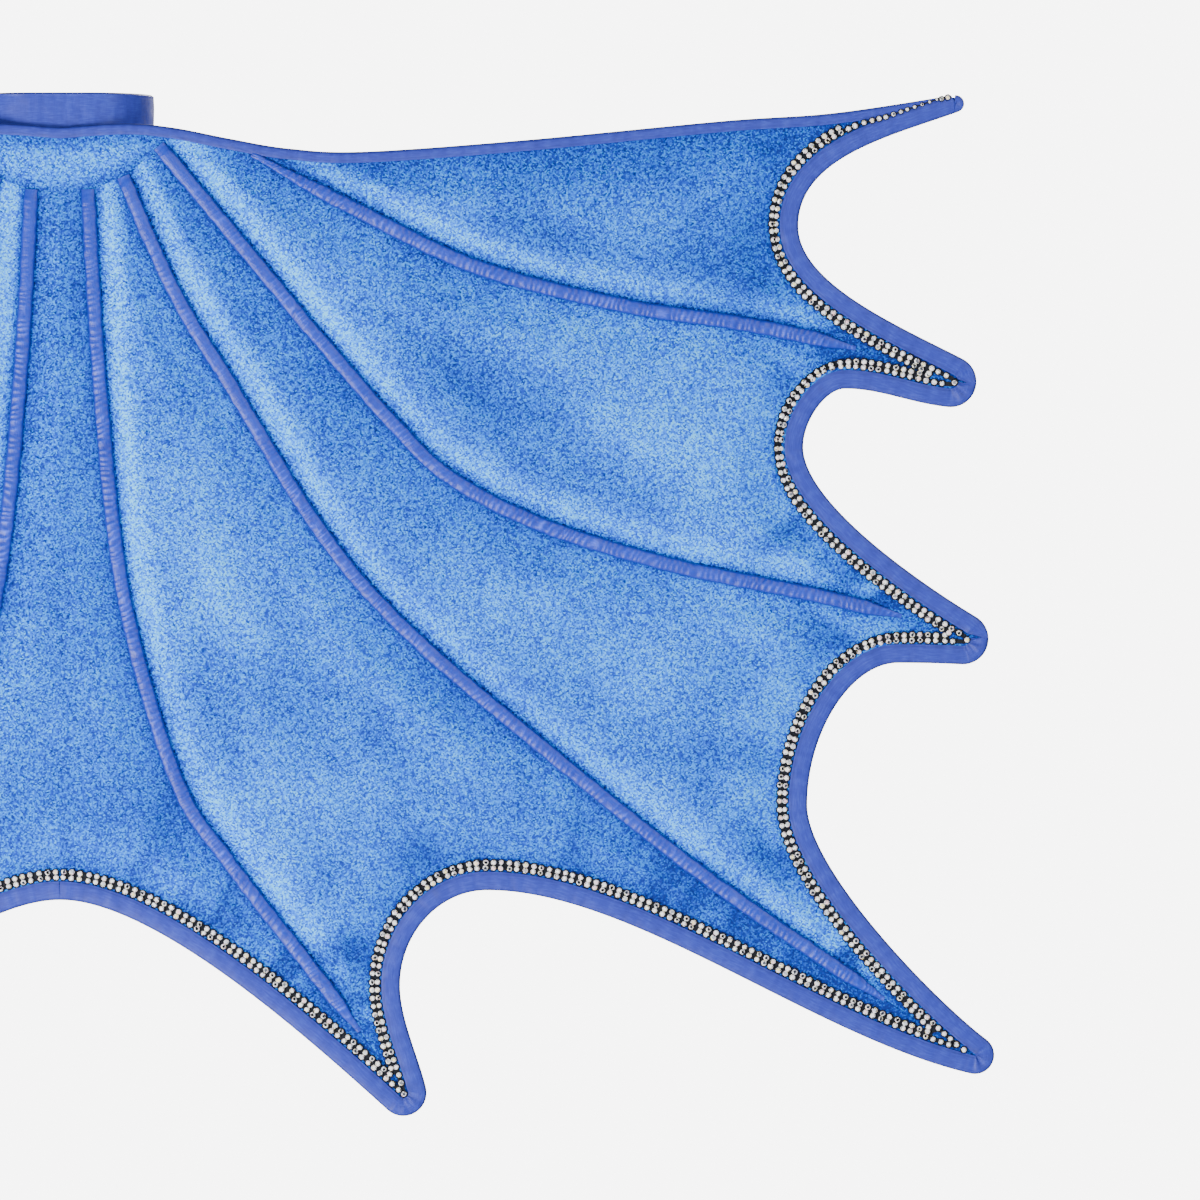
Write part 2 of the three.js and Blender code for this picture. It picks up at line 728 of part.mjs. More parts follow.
// A drop-shaped loop seen along X, with Y away from the lining and Z up from its seam.
function loopOutline(inset) {
  const radius = WRIST_LOOP_RADIUS + WRIST_BAND_THICKNESS - inset;
  const centreY = WRIST_LOOP_RADIUS + WRIST_BAND_THICKNESS;
  const top = -WRIST_SEAM_SLOPE * inset;
  const outline = new THREE.Path();
  outline.moveTo(inset, top);
  outline.lineTo(inset, -WRIST_LOOP_LENGTH);
  outline.absarc(centreY, -WRIST_LOOP_LENGTH, radius, Math.PI, 2 * Math.PI);
  outline.bezierCurveTo(
    centreY + radius,
    -WRIST_LOOP_LENGTH / 2,
    2 * WRIST_BAND_THICKNESS + inset,
    -WRIST_LOOP_LENGTH / 3,
    3 * WRIST_BAND_THICKNESS - inset,
    top,
  );
  return outline.getPoints(NECK_STEPS);
}

function wristLoop(side) {
  const shape = new THREE.Shape(outlined(loopOutline(0)));
  shape.holes.push(new THREE.Path(outlined(loopOutline(WRIST_BAND_THICKNESS))));
  const geometry = new THREE.ExtrudeGeometry(shape, { depth: WRIST_BAND_WIDTH, bevelEnabled: false });
  // Shape X becomes Y, shape Y becomes Z, and the depth runs along X.
  geometry.applyMatrix4(new THREE.Matrix4().set(0, 0, 1, 0, 1, 0, 0, 0, 0, 1, 0, 0, 0, 0, 0, 1));
  const seam = meeting(topEdge, [point(WRIST_X, -DROP), point(WRIST_X, DROP)]).point;
  const backY = CAPE_Y - BINDING_BACK_DEPTH + GAP;
  return geometry.translate(side * WRIST_X - WRIST_BAND_WIDTH / 2, backY, seam.y - BINDING_EDGE);
}

// ---- Assembly ----

function wing(name, side) {
  const place = side > 0 ? (points) => points : mirrored;
  const group = new THREE.Group();
  group.add(mesh(name + "_lining", wingLining(place), MATERIALS.lining));
  group.add(mesh(name + "_top_binding", topBinding(place), MATERIALS.satin));
  SCALLOPS.forEach((_, i) => {
    const n = i + 1;
    group.add(mesh(`${name}_velvet_panel_${n}`, velvetPanel(i, place), MATERIALS.velvet));
    group.add(mesh(`${name}_scallop_${n}_binding`, scallopBinding(i, place), MATERIALS.satin));
    group.add(mesh(`${name}_scallop_${n}_stone_trim`, scallopTrim(i, place), MATERIALS.trim));
  });
  RIBS.forEach((_, i) => {
    const n = i + 1;
    group.add(mesh(`${name}_rib_${n}_casing`, ribCasing(i, place), MATERIALS.ribSatin));
    group.add(mesh(`${name}_rib_${n}_stay`, ribStay(i, place), MATERIALS.stay));
  });
  group.add(mesh(name + "_wrist_loop", wristLoop(side), MATERIALS.elastic));
  return group;
}

function back() {
  const group = new THREE.Group();
  group.add(mesh("centre_velvet", centreVelvet(), MATERIALS.velvet));
  group.add(mesh("centre_lining", centreLining(), MATERIALS.lining));
  group.add(mesh("centre_binding", centreBinding(), MATERIALS.satin));
  group.add(mesh("centre_stone_trim", centreTrim(), MATERIALS.trim));
  group.add(mesh("neck_yoke", yokeCloth(VELVET_DEPTH, FACE_DEPTH), MATERIALS.velvet));
  group.add(mesh("neckline_binding", necklineBinding(), MATERIALS.satin));
  group.add(mesh("neckband", neckband(), MATERIALS.satin));
  group.add(mesh("loop_tape", tape(LOOP_TAPE_OUT), MATERIALS.tape));
  return group;
}

function closure() {
  const group = new THREE.Group();
  group.add(mesh("closure_tab", closureTab(), MATERIALS.satin));
  group.add(mesh("hook_tape", tape(HOOK_TAPE_OUT), MATERIALS.tape));
  return group;
}

const cape = new THREE.Group();
cape.add(back(), closure(), wing("right", 1), wing("left", -1));
export default cape;
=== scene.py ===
"""Looks of a boned dress-up cape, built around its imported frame.

The cape lies spread behind the neck: glitter velvet panels between ruched rib casings, satin
bindings round the scalloped edge, a double row of stones inside them, a lining, and a neckband
with a peel-off tab. Pattern lines are rows of X and Z in millimetres, drawn for the wearer's
right half; finished meshes are in metres. Depths count from the lining's wearer side outwards.
"""

import logging
import math
from collections.abc import Sequence
from dataclasses import dataclass, field
from enum import Enum
from functools import cached_property

import bpy
import numpy as np
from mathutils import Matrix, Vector


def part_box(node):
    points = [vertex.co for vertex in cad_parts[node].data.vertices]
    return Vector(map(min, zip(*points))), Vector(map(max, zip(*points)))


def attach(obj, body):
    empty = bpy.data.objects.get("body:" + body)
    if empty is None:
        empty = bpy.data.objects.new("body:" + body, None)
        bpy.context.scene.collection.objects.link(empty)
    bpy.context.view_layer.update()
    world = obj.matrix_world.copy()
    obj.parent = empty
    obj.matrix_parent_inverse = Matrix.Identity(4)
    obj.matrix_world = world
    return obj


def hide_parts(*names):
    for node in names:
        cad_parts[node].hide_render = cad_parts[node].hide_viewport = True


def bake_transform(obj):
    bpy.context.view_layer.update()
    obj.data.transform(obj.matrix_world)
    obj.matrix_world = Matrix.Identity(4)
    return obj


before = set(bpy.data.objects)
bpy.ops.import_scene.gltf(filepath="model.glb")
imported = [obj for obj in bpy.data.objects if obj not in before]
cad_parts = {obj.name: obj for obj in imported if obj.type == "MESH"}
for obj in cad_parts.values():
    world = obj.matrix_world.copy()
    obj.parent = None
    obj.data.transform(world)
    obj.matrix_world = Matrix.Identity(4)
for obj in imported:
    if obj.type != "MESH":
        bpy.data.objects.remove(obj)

LOG = logging.getLogger("cape")
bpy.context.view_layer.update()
MM = 0.001
CAPE_Y = -55.8  # the lining's wearer side, in millimetres
LEFT_BOLT = np.array([1.7, 0.9])  # how far along the bolt the left side's cloth lies, in metres

Line = np.ndarray  # rows of X and Z, in millimetres


class Side(Enum):
    """Which half of the cape a piece belongs to; the value is the sign of its X."""

    RIGHT = 1
    LEFT = -1

    @property
    def word(self) -> str:
        """The side's name as the bodies and nodes spell it."""
        return self.name.lower()


class Finish(Enum):
    """The named finishes of the cape, as its record's material slots spell them."""

    VELVET = "velvet"
    SATIN = "satin"
    RIB_SATIN = "rib_satin"
    LINING = "lining"
    STONES = "stones"
    STAY = "stay"
    ELASTIC = "elastic"
    TAPE = "tape"


# ---------------------------------------------------------------------------------------------
# Lines in the plane of the cape
# ---------------------------------------------------------------------------------------------


def heading(degrees: float) -> np.ndarray:
    """The unit vector of a heading, counted from +X towards +Z."""
    angle = math.radians(degrees)
    return np.array([math.cos(angle), math.sin(angle)])


def mirrored(line: Line) -> Line:
    """The line on the other side of the middle."""
    return line * np.array([-1.0, 1.0])


def lengths(line: Line) -> np.ndarray:
    """How far along a line each of its points lies."""
    steps = np.linalg.norm(np.diff(line, axis=0), axis=1)
    return np.concatenate([[0.0], np.cumsum(steps)])


def resized(line: Line, count: int) -> Line:
    """The line with that many points, evenly spaced along its length.

    Args:
        line: the line, which may be a single repeated point.
        count: how many points the new line has.

    Returns:
        The new line.
    """
    along = lengths(line)
    places = np.linspace(0, along[-1], count)
    return np.column_stack([np.interp(places, along, line[:, k]) for k in (0, 1)])


def resampled(line: Line, step: float) -> Line:
    """The line with points about a step apart."""
    return resized(line, max(2, int(round(lengths(line)[-1] / step)) + 1))


def tangents(line: Line) -> np.ndarray:
    """The unit direction of travel at each point, from central differences."""
    ways = np.gradient(line, axis=0)
    return ways / np.maximum(np.linalg.norm(ways, axis=1, keepdims=True), 1e-9)


def rightwards(line: Line) -> np.ndarray:
    """The unit normal to the right of travel at each point."""
    way = tangents(line)
    return np.column_stack([way[:, 1], -way[:, 0]])


def offset(line: Line, distance: float) -> Line:
    """The line moved to the right of travel, or to the left by a negative distance."""
    return line + rightwards(line) * distance


def extended(line: Line, length: float) -> Line:
    """The line with a straight piece added at its end."""
    way = (line[-1] - line[-2]) / np.linalg.norm(line[-1] - line[-2])
    return np.vstack([line, line[-1] + way * length])


def spline(knots: Sequence[Sequence[float]], step: float) -> Line:
    """A Catmull-Rom curve: on each span, a cubic whose slope at a knot is half the chord
    between the knots on both sides of it.

    Args:
        knots: the points that the curve passes.
        step: how far apart the points of the result are.

    Returns:
        The curve as a line.
    """
    p = np.asarray(knots, float)
    last = len(p) - 1
    i = np.arange(last)
    p0, p1, p2, p3 = p[np.maximum(i - 1, 0)], p[i], p[i + 1], p[np.minimum(i + 2, last)]
    t = np.linspace(0, 1, 60, endpoint=False)[None, :, None]
    a, b = ((p2 - p0) / 2)[:, None], ((p3 - p1) / 2)[:, None]
    p1, p2 = p1[:, None], p2[:, None]
    cubic = (2 * p1 - 2 * p2 + a + b) * t**3 + (3 * p2 - 3 * p1 - 2 * a - b) * t**2 + a * t + p1
    return resampled(np.vstack([cubic.reshape(-1, 2), p[-1]]), step)


def bezier(a: np.ndarray, b: np.ndarray, c: np.ndarray, d: np.ndarray) -> Line:
    """A cubic Bezier curve from a to d with the handles b and c."""
    t = np.linspace(0, 1, 80)[:, None]
    return a * (1 - t) ** 3 + 3 * b * t * (1 - t) ** 2 + 3 * c * t**2 * (1 - t) + d * t**3


def cross2(u: np.ndarray, v: np.ndarray) -> np.ndarray:
    """The signed area that two plane vectors span."""
    return u[..., 0] * v[..., 1] - u[..., 1] * v[..., 0]


def crossings(line: Line, other: Line) -> np.ndarray:
    """The places on a line, counted in its points, where another line crosses it.

    Args:
        line: the line that the places are counted on.
        other: the line that crosses it.

    Returns:
        The places in order; 2.5 lies halfway between the third point and the fourth.
    """
    p, r = line[:-1, None], np.diff(line, axis=0)[:, None]
    q, s = other[None, :-1], np.diff(other, axis=0)[None]
    with np.errstate(divide="ignore", invalid="ignore"):
        along = cross2(q - p, s) / cross2(r, s)
        across = cross2(q - p, r) / cross2(r, s)
    i, j = np.nonzero((along >= 0) & (along <= 1) & (across >= 0) & (across <= 1))
    return np.sort(i + along[i, j])


def part(line: Line, start: float, stop: float) -> Line:
    """The part of a line between two places on it, counted in its points."""
    places = np.arange(len(line))
    inner = places[(places > start + 1e-6) & (places < stop - 1e-6)]
    stations = np.concatenate([[start], inner, [stop]])
    return np.column_stack([np.interp(stations, places, line[:, k]) for k in (0, 1)])


def up_to(line: Line, stop: Line) -> Line:
    """The part of a line before another line first crosses it."""
    return part(line, 0, crossings(line, stop)[0])


def past(line: Line, start: Line) -> Line:
    """The part of a line after another line first crosses it."""
    return part(line, crossings(line, start)[0], len(line) - 1)


def between(line: Line, middle: int, before: Line, after: Line) -> Line:
    """The part of a line round one of its points, cut off by a line on each side."""
    first, last = crossings(line, before), crossings(line, after)
    return part(line, first[first < middle].max(), last[last > middle].min())


def distance_to(points: np.ndarray, lines: Sequence[Line]) -> np.ndarray:
    """The distance from each point to the nearest of several lines: to each segment, it is
    the length from the point to its foot, which is held between the segment's ends.

    Args:
        points: rows of X and Z.
        lines: the lines.

    Returns:
        One distance for each point.
    """
    nearest = np.full(len(points), np.inf)
    for line in lines:
        coarse = resampled(line, 5.0)
        a, way = coarse[:-1], np.diff(coarse, axis=0)
        size = np.maximum((way**2).sum(1), 1e-9)
        apart = points[:, None] - a[None]
        share = np.clip((apart * way[None]).sum(2) / size, 0, 1)
        gap = np.linalg.norm(apart - share[..., None] * way[None], axis=2)
        nearest = np.minimum(nearest, gap.min(1))
    return nearest


def ray_reach(points: np.ndarray, ways: np.ndarray, lines: Sequence[Line]) -> np.ndarray:
    """How far a ray from each point runs before it meets one of the lines.

    Args:
        points: where the rays start.
        ways: their unit directions.
        lines: what stops them.

    Returns:
        One length for each ray, or 1000 where nothing stops it.
    """
    least = np.full(len(points), 1000.0)
    for line in lines:
        a, step = line[None, :-1], np.diff(line, axis=0)[None]
        way, gap = ways[:, None], line[None, :-1] - points[:, None]
        with np.errstate(divide="ignore", invalid="ignore"):
            far = cross2(gap, step) / cross2(way, step)
            share = cross2(gap, way) / cross2(way, step)
        far = np.where((far > 0.4) & (share >= 0) & (share <= 1), far, 1000.0)
        least = np.minimum(least, far.min(1))
    return least


def eased(value: np.ndarray | float, low: float, high: float) -> np.ndarray:
    """Rises smoothly from 0 at low to 1 at high: 3t squared less 2t cubed."""
    t = np.clip((np.asarray(value, float) - low) / (high - low), 0, 1)
    return t * t * (3 - 2 * t)


def soft_noise(x: np.ndarray, z: np.ndarray, size: float, seed: int) -> np.ndarray:
    """Smooth noise from -1 to 1: random values on a square lattice, eased between corners.

    Args:
        x: first coordinate of each point.
        z: second coordinate of each point.
        size: the lattice's spacing, in the same unit.
        seed: picks the random values.

    Returns:
        One value for each point.
    """
    lattice = np.random.default_rng(seed).uniform(-1, 1, (128, 128))
    gx, gz = np.asarray(x, float) / size, np.asarray(z, float) / size
    i, j = np.floor(gx).astype(int), np.floor(gz).astype(int)
    fx, fz = eased(gx - i, 0, 1), eased(gz - j, 0, 1)
    a, b = lattice[i % 128, j % 128], lattice[(i + 1) % 128, j % 128]
    c, d = lattice[i % 128, (j + 1) % 128], lattice[(i + 1) % 128, (j + 1) % 128]
    return (a * (1 - fx) + b * fx) * (1 - fz) + (c * (1 - fx) + d * fx) * fz


# ---------------------------------------------------------------------------------------------
# The pattern
# ---------------------------------------------------------------------------------------------


@dataclass(frozen=True)
class Tip:
    """A rounded tip of the outline: its centre and radius."""

    x: float
    z: float
    radius: float

    def at(self, degrees: float) -> np.ndarray:
        """The point that the outline passes along a heading, with the cape on its right."""
        return np.array([self.x, self.z]) + heading(degrees + 90) * self.radius


@dataclass(frozen=True)
class Knot:
    """A point that a scallop passes along a heading, and its handles before and after."""

    x: float
    z: float
    degrees: float
    before: float
    after: float


@dataclass(frozen=True)
class Scallop:
    """The edge between two tips: the headings at both, their handles, and the knots."""

    start: str
    leave: float
    pull: float
    knots: tuple[Knot, ...]
    end: float
    arrive: float
    finish: str


@dataclass
class Edge:
    """A stretch of the outline, and one of its points that is surely on its own scallop."""

    line: Line
    middle: int


@dataclass
class Pattern:
    """The cape's right half: outline, rib lines, and the lines that its pieces are cut to."""

    step: float = 1.2
    top_heading: float = 10
    yoke_radius: float = 78
    yoke_z: float = 30
    tips: dict[str, Tip] = field(
        default_factory=lambda: {
            "A": Tip(555.5, 6.8, 5.4),
            "B": Tip(552.5, -165.5, 16),
            "C": Tip(560, -325, 16),
            "D": Tip(567.5, -583, 12),
            "E": Tip(213, -606.5, 14.5),
        }
    )
    top_knots: tuple[tuple[float, float], ...] = (
        (0, -8),
        (40, -5.5),
        (70, -8),
        (106, -15),
        (142, -21),
        (188, -23),
        (286, -16),
        (411, -4),
        (480, 1),
    )
    scallops: tuple[Scallop, ...] = (
        Scallop("A", 200, 43, (Knot(458, -69, -90, 43, 35),), 47, -27, "B"),
        Scallop(
            "B",
            174,
            24,
            (Knot(487, -170, 180, 22, 12), Knot(461, -206, -90, 16, 34)),
            42,
            -31,
            "C",
        ),
        Scallop(
            "C",
            177,
            14,
            (Knot(520, -340, 180, 14, 30), Knot(463.5, -428, -90, 44, 40)),
            40,
            -37,
            "D",
        ),
        Scallop(
            "D",
            167,
            100,
            (Knot(265, -481, 180, 90, 30), Knot(211, -540, -90, 32, 20)),
            20,
            -76,
            "E",
        ),
    )
    arch_leave: float = 138
    arch_pull: float = 60
    arch_top: float = -487
    rib_knots: tuple[tuple[tuple[float, float], ...], ...] = (
        (
            (92, -9),
            (125, -28),
            (178, -56),
            (257, -94),
            (347, -118),
            (430, -131),
            (509, -149),
            (568, -168),
        ),
        (
            (56, -13),
            (106, -73),
            (158, -136),
            (208, -193),
            (242, -225),
            (300, -255),
            (382, -280),
            (477, -300),
            (575.5, -325),
        ),
        (
            (34, -26),
            (70, -108),
            (106, -168),
            (162, -259),
            (216, -321),
            (305, -397),
            (401, -473),
            (509, -547),
            (577.5, -589.5),
        ),
        (
            (17, -36),
            (25, -170),
            (40, -300),
            (72, -412),
            (106, -465),
            (147, -518),
            (197, -583),
            (221.7, -618),
        ),
    )

    @cached_property
    def top(self) -> Line:
        """The top edge, from the middle of the neckline to tip A."""
        end = tuple(self.tips["A"].at(self.top_heading))
        return spline((*self.top_knots, end), self.step)

    def leg(self, scallop: Scallop) -> Line:
        """A scallop between its two round tips: Bezier curves through its knots."""
        first, last = self.tips[scallop.start], self.tips[scallop.finish]
        knots = [Knot(*first.at(scallop.leave), scallop.leave, 0, scallop.pull)]
        knots += scallop.knots
        knots.append(Knot(*last.at(scallop.arrive), scallop.arrive, scallop.end, 0))
        return self.through(knots)

    def through(self, knots: Sequence[Knot]) -> Line:
        """A smooth line through knots, with each knot's handles along its heading."""
        curves = []
        for a, b in zip(knots[:-1], knots[1:]):
            start, stop = np.array([a.x, a.z]), np.array([b.x, b.z])
            handle = start + heading(a.degrees) * a.after
            curves.append(bezier(start, handle, stop - heading(b.degrees) * b.before, stop))
        joined = np.vstack([curves[0], *(c[1:] for c in curves[1:])])
        return resampled(joined, self.step)

    def arc(self, name: str) -> Line:
        """The round end of a tip, clockwise from where the outline arrives to where it leaves."""
        arrive = {"A": self.top_heading, **{s.finish: s.arrive for s in self.scallops}}[name]
        leave = {"E": self.arch_leave, **{s.start: s.leave for s in self.scallops}}[name]
        turns = np.linspace(arrive, arrive - (arrive - leave) % 360, 33)
        tip = self.tips[name]
        angles = np.radians(turns + 90)
        rim = np.column_stack([np.cos(angles), np.sin(angles)]) * tip.radius
        return resampled(rim + np.array([tip.x, tip.z]), self.step)

    @cached_property
    def legs(self) -> list[Line]:
        """The four scallops between their round tips."""
        return [self.leg(s) for s in self.scallops]

    @cached_property
    def edges(self) -> list[Edge]:
        """Each scallop with the round tips at both of its ends."""
        found = []
        for scallop, leg in zip(self.scallops, self.legs):
            first, last = self.arc(scallop.start), self.arc(scallop.finish)
            line = np.vstack([first[:-1], leg, last[1:]])
            found.append(Edge(line, len(first) + len(leg) // 2))
        return found

    @cached_property
    def arch(self) -> Edge:
        """The arch between the two lowest tips, with both round tips."""
        start = self.tips["E"].at(self.arch_leave)
        knots = (
            Knot(*start, self.arch_leave, 0, self.arch_pull),
            Knot(0, self.arch_top, 180, self.arch_pull, 0),
        )
        half = np.vstack([self.arc("E")[:-1], self.through(knots)])
        return Edge(np.vstack([half, mirrored(half[::-1])[1:]]), len(half) - 1)

    @cached_property
    def cuts(self) -> list[Line]:
        """The four rib lines, run on past the outline."""
        return [extended(spline(knots, self.step), 30) for knots in self.rib_knots]

    @cached_property
    def middle(self) -> Line:
        """The line down the middle of the back."""
        return np.array([[0.0, 0.0], [0.0, -700.0]])

    def yoke(self, margin: float) -> Line:
        """The lower half of the yoke's circle, grown by a margin, from right to left."""
        angles = np.linspace(0, -math.pi, 181)
        rim = np.column_stack([np.cos(angles), np.sin(angles)]) * (self.yoke_radius + margin)
        return rim + np.array([0.0, self.yoke_z])

    def outline_of(self, index: int) -> list[Line]:
        """The stretches of outline that bound a panel, the centre panel being number 4."""
        if index == 4:
            return [self.arch.line]
        return [self.edges[index].line, *([self.top] if index == 0 else [])]

    def limits(self, index: int, gap: float, moved: float = 0.0) -> tuple[Line, Line]:
        """The lines above and below a panel, each half a gap clear of its rib line.

        Args:
            index: which panel, the centre half being number 4.
            gap: the clearance between two panels at a rib.
            moved: how far towards the wing the back's own seam lies.

        Returns:
            The upper line and the lower one.
        """
        if index == 4:
            return offset(self.cuts[3], gap / 2 - moved), self.middle
        upper = self.top if index == 0 else offset(self.cuts[index - 1], gap / 2)
        return upper, offset(self.cuts[index], -gap / 2 - (moved if index == 3 else 0.0))

    def neighbours(self, index: int) -> list[Line]:
        """The scallops next to a scallop, without the round tips that they share."""
        round_end = len(self.arc("E"))
        edges = [*self.legs, self.arch.line[round_end:-round_end]]
        return [edges[k] for k in (index - 1, index + 1) if 0 <= k < 5]

    def sides(
        self, index: int, tuck: float, gap: float, yoke: float, moved: float = 0.0
    ) -> tuple[Line, Line, Line, Line]:
        """The four sides of a panel, the centre half being number 4.

        Args:
            index: which panel, from the top edge down.
            tuck: how far inside the outline the cloth stops.
            gap: the clearance between two panels at a rib.
            yoke: how far outside the yoke's circle the cloth starts.
            moved: how far towards the wing the back's own seam lies.

        Returns:
            The upper side and the lower side, both from the neck outwards, then the side at
            the neck and the side at the edge, both from the upper side to the lower one.
        """
        upper, lower = self.limits(index, gap, moved)
        clear = self.yoke(yoke)
        top = offset(self.top, tuck)
        if index == 0:
            arc = offset(self.arc("A"), tuck)
            half = len(arc) // 2
            edge = offset(self.edges[0].line, tuck)
            start = crossings(top, lower)[0]
            upper = np.vstack([part(top, start, len(top) - 1), arc[1 : half + 1]])
            far = part(edge, half, crossings(edge[half:], lower).max() + half)
            return upper, up_to(past(lower, top), edge[half:]), upper[[0, 0]], far
        edge = self.arch if index == 4 else self.edges[index]
        inset = offset(edge.line, tuck)
        beyond = self.middle if index == 4 else lower
        far = between(inset, edge.middle - (1 if index == 4 else 0), upper, beyond)
        if index == 4:
            rim = part(clear, crossings(clear, upper)[0], crossings(clear, self.middle)[0])
            down = np.array([rim[-1], far[-1]])
            return up_to(past(upper, clear), inset), down, rim, far
        lower_side = up_to(past(lower, clear), inset)
        if index == 1:
            upper_side = up_to(past(upper, top), inset)
            from_yoke = past(top, clear)
            along_top = up_to(from_yoke, upper)[::-1]
            rim = part(clear, crossings(clear, top)[0], crossings(clear, lower)[0])
            return upper_side, lower_side, np.vstack([along_top, rim[1:]]), far
        rim = part(clear, crossings(clear, upper)[0], crossings(clear, lower)[0])
        return up_to(past(upper, clear), inset), lower_side, rim, far


PATTERN = Pattern()


# ---------------------------------------------------------------------------------------------
# Meshes
# ---------------------------------------------------------------------------------------------


@dataclass
class Shell:
    """A mesh in the making: points in millimetres, faces in groups of equal size, and what
    each point carries. A face group goes with the number of the finish that it wears."""

    points: np.ndarray
    groups: list[tuple[np.ndarray, int]]
    cloth: np.ndarray
    fields: dict[str, np.ndarray] = field(default_factory=dict)

    def outwards(self) -> "Shell":
        """The shell with its faces turned round if the volume that they close is negative."""
        total = 0.0
        for faces, _ in self.groups:
            a = self.points[faces[:, 0]]
            for k in range(1, faces.shape[1] - 1):
                b, c = self.points[faces[:, k]], self.points[faces[:, k + 1]]
                total += float((a * np.cross(b, c)).sum())
        if total < 0:
            self.groups = [(faces[:, ::-1], worn) for faces, worn in self.groups]
        return self

    def on(self, side: Side) -> "Shell":
        """The shell on a side of the cape, turned inside out and back by its mirroring. The
        left side's cloth comes from further along the bolt, so its grain is its own."""
        if side is Side.RIGHT:
            return self
        points = self.points * np.array([-1.0, 1.0, 1.0])
        groups = [(faces[:, ::-1], worn) for faces, worn in self.groups]
        return Shell(points, groups, self.cloth + LEFT_BOLT, self.fields)


def joined(shells: Sequence[Shell]) -> Shell:
    """Several shells as one, which keeps their faces and what their points carry."""
    groups, start = [], 0
    for shell in shells:
        groups += [(faces + start, worn) for faces, worn in shell.groups]
        start += len(shell.points)
    names = {name for shell in shells for name in shell.fields}
    fields = {
        name: np.concatenate([s.fields.get(name, np.zeros(len(s.points))) for s in shells])
        for name in names
    }
    points = np.concatenate([s.points for s in shells])
    return Shell(points, groups, np.concatenate([s.cloth for s in shells]), fields)


def grid_quads(rows: int, columns: int, ring: bool = False) -> np.ndarray:
    """The quads of a grid of points counted row by row.

    Args:
        rows: how many rows of points.
        columns: how many points in a row.
        ring: whether each row closes on itself.

    Returns:
        Four point numbers for each quad.
    """
    i = np.arange(rows - 1)[:, None]
    j = np.arange(columns if ring else columns - 1)[None]
    after = (j + 1) % columns
    corners = (i * columns + j, i * columns + after, (i + 1) * columns + after, (i + 1) * columns + j)
    return np.stack([c.ravel() for c in np.broadcast_arrays(*corners)], axis=1)


def swept(rings: np.ndarray, cloth: np.ndarray, fields: dict[str, np.ndarray] | None = None) -> Shell:
    """A closed shell from rings of points carried along a path, with a flat cap at each end.

    Args:
        rings: one closed ring of points for each station, as an array of shape (s, q, 3).
        cloth: the cloth coordinates of each point, of shape (s, q, 2).
        fields: values for each point, each of shape (s, q).

    Returns:
        The shell.
    """
    count, around = rings.shape[:2]
    quads = grid_quads(count, around, ring=True)
    ring = np.arange(around)
    caps = np.stack([ring[::-1], ring + (count - 1) * around])
    flat = {name: value.ravel() for name, value in (fields or {}).items()}
    shell = Shell(rings.reshape(-1, 3), [(quads, 0), (caps, 0)], cloth.reshape(-1, 2), flat)
    return shell.outwards()


def coons(upper: Line, lower: Line, near: Line, far: Line) -> np.ndarray:
    """A grid that fills four sides: the blend of the upper and lower sides plus the blend of
    the near and far sides, less the blend of the four corners.

    Args:
        upper: the side at v = 0, with as many points as lower.
        lower: the side at v = 1.
        near: the side at u = 0, with as many points as far.
        far: the side at u = 1.

    Returns:
        Points of shape (u, v, 2).
    """
    u = np.linspace(0, 1, len(upper))[:, None, None]
    v = np.linspace(0, 1, len(near))[None, :, None]
    across = (1 - v) * upper[:, None] + v * lower[:, None]
    along = (1 - u) * near[None] + u * far[None]
    start = (1 - v) * near[0] + v * near[-1]
    stop = (1 - v) * far[0] + v * far[-1]
    return across + along - (1 - u) * start - u * stop


def welded(points: np.ndarray, quads: np.ndarray) -> tuple[np.ndarray, list[np.ndarray]]:
    """Points of a flat cut that lie together made one, and quads that lose a side made
    triangles.

    Args:
        points: rows of X and Z.
        quads: four point numbers for each quad.

    Returns:
        The points that stay, and the face groups.
    """
    keys = np.round(points * 50).astype(np.int64)
    _, kept, renumbered = np.unique(keys, axis=0, return_index=True, return_inverse=True)
    faces = renumbered.ravel()[quads]
    same = faces == np.roll(faces, -1, axis=1)
    lost = same.sum(1)
    triangles = faces[lost == 1][~same[lost == 1]].reshape(-1, 3)
    groups = [faces[lost == 0], *([triangles] if len(triangles) else [])]
    return points[kept], groups


def slab(front: np.ndarray, faces: list[np.ndarray], thickness: np.ndarray | float) -> Shell:
    """A closed sheet: its face, the same face moved towards the wearer, and walls between
    the two along every edge that only one face has.

    Args:
        front: the points of the outer face.
        faces: its face groups.
        thickness: how thick the sheet is, everywhere or at each point.

    Returns:
        The shell, whose cloth coordinates are X and Z.
    """
    back = front + np.array([0.0, 1.0, 0.0]) * np.reshape(thickness, (-1, 1))
    count = len(front)
    sides = np.concatenate([np.stack([f, np.roll(f, -1, axis=1)], 2).reshape(-1, 2) for f in faces])
    known = sides[:, 0] * count + sides[:, 1]
    open_sides = sides[~np.isin(known, sides[:, 1] * count + sides[:, 0])]
    a, b = open_sides.T
    walls = np.stack([b, a, a + count, b + count], axis=1)
    groups = [(f, 0) for f in faces] + [(f[:, ::-1] + count, 0) for f in faces] + [(walls, 0)]
    points = np.concatenate([front, back])
    return Shell(points, groups, points[:, [0, 2]] * MM).outwards()


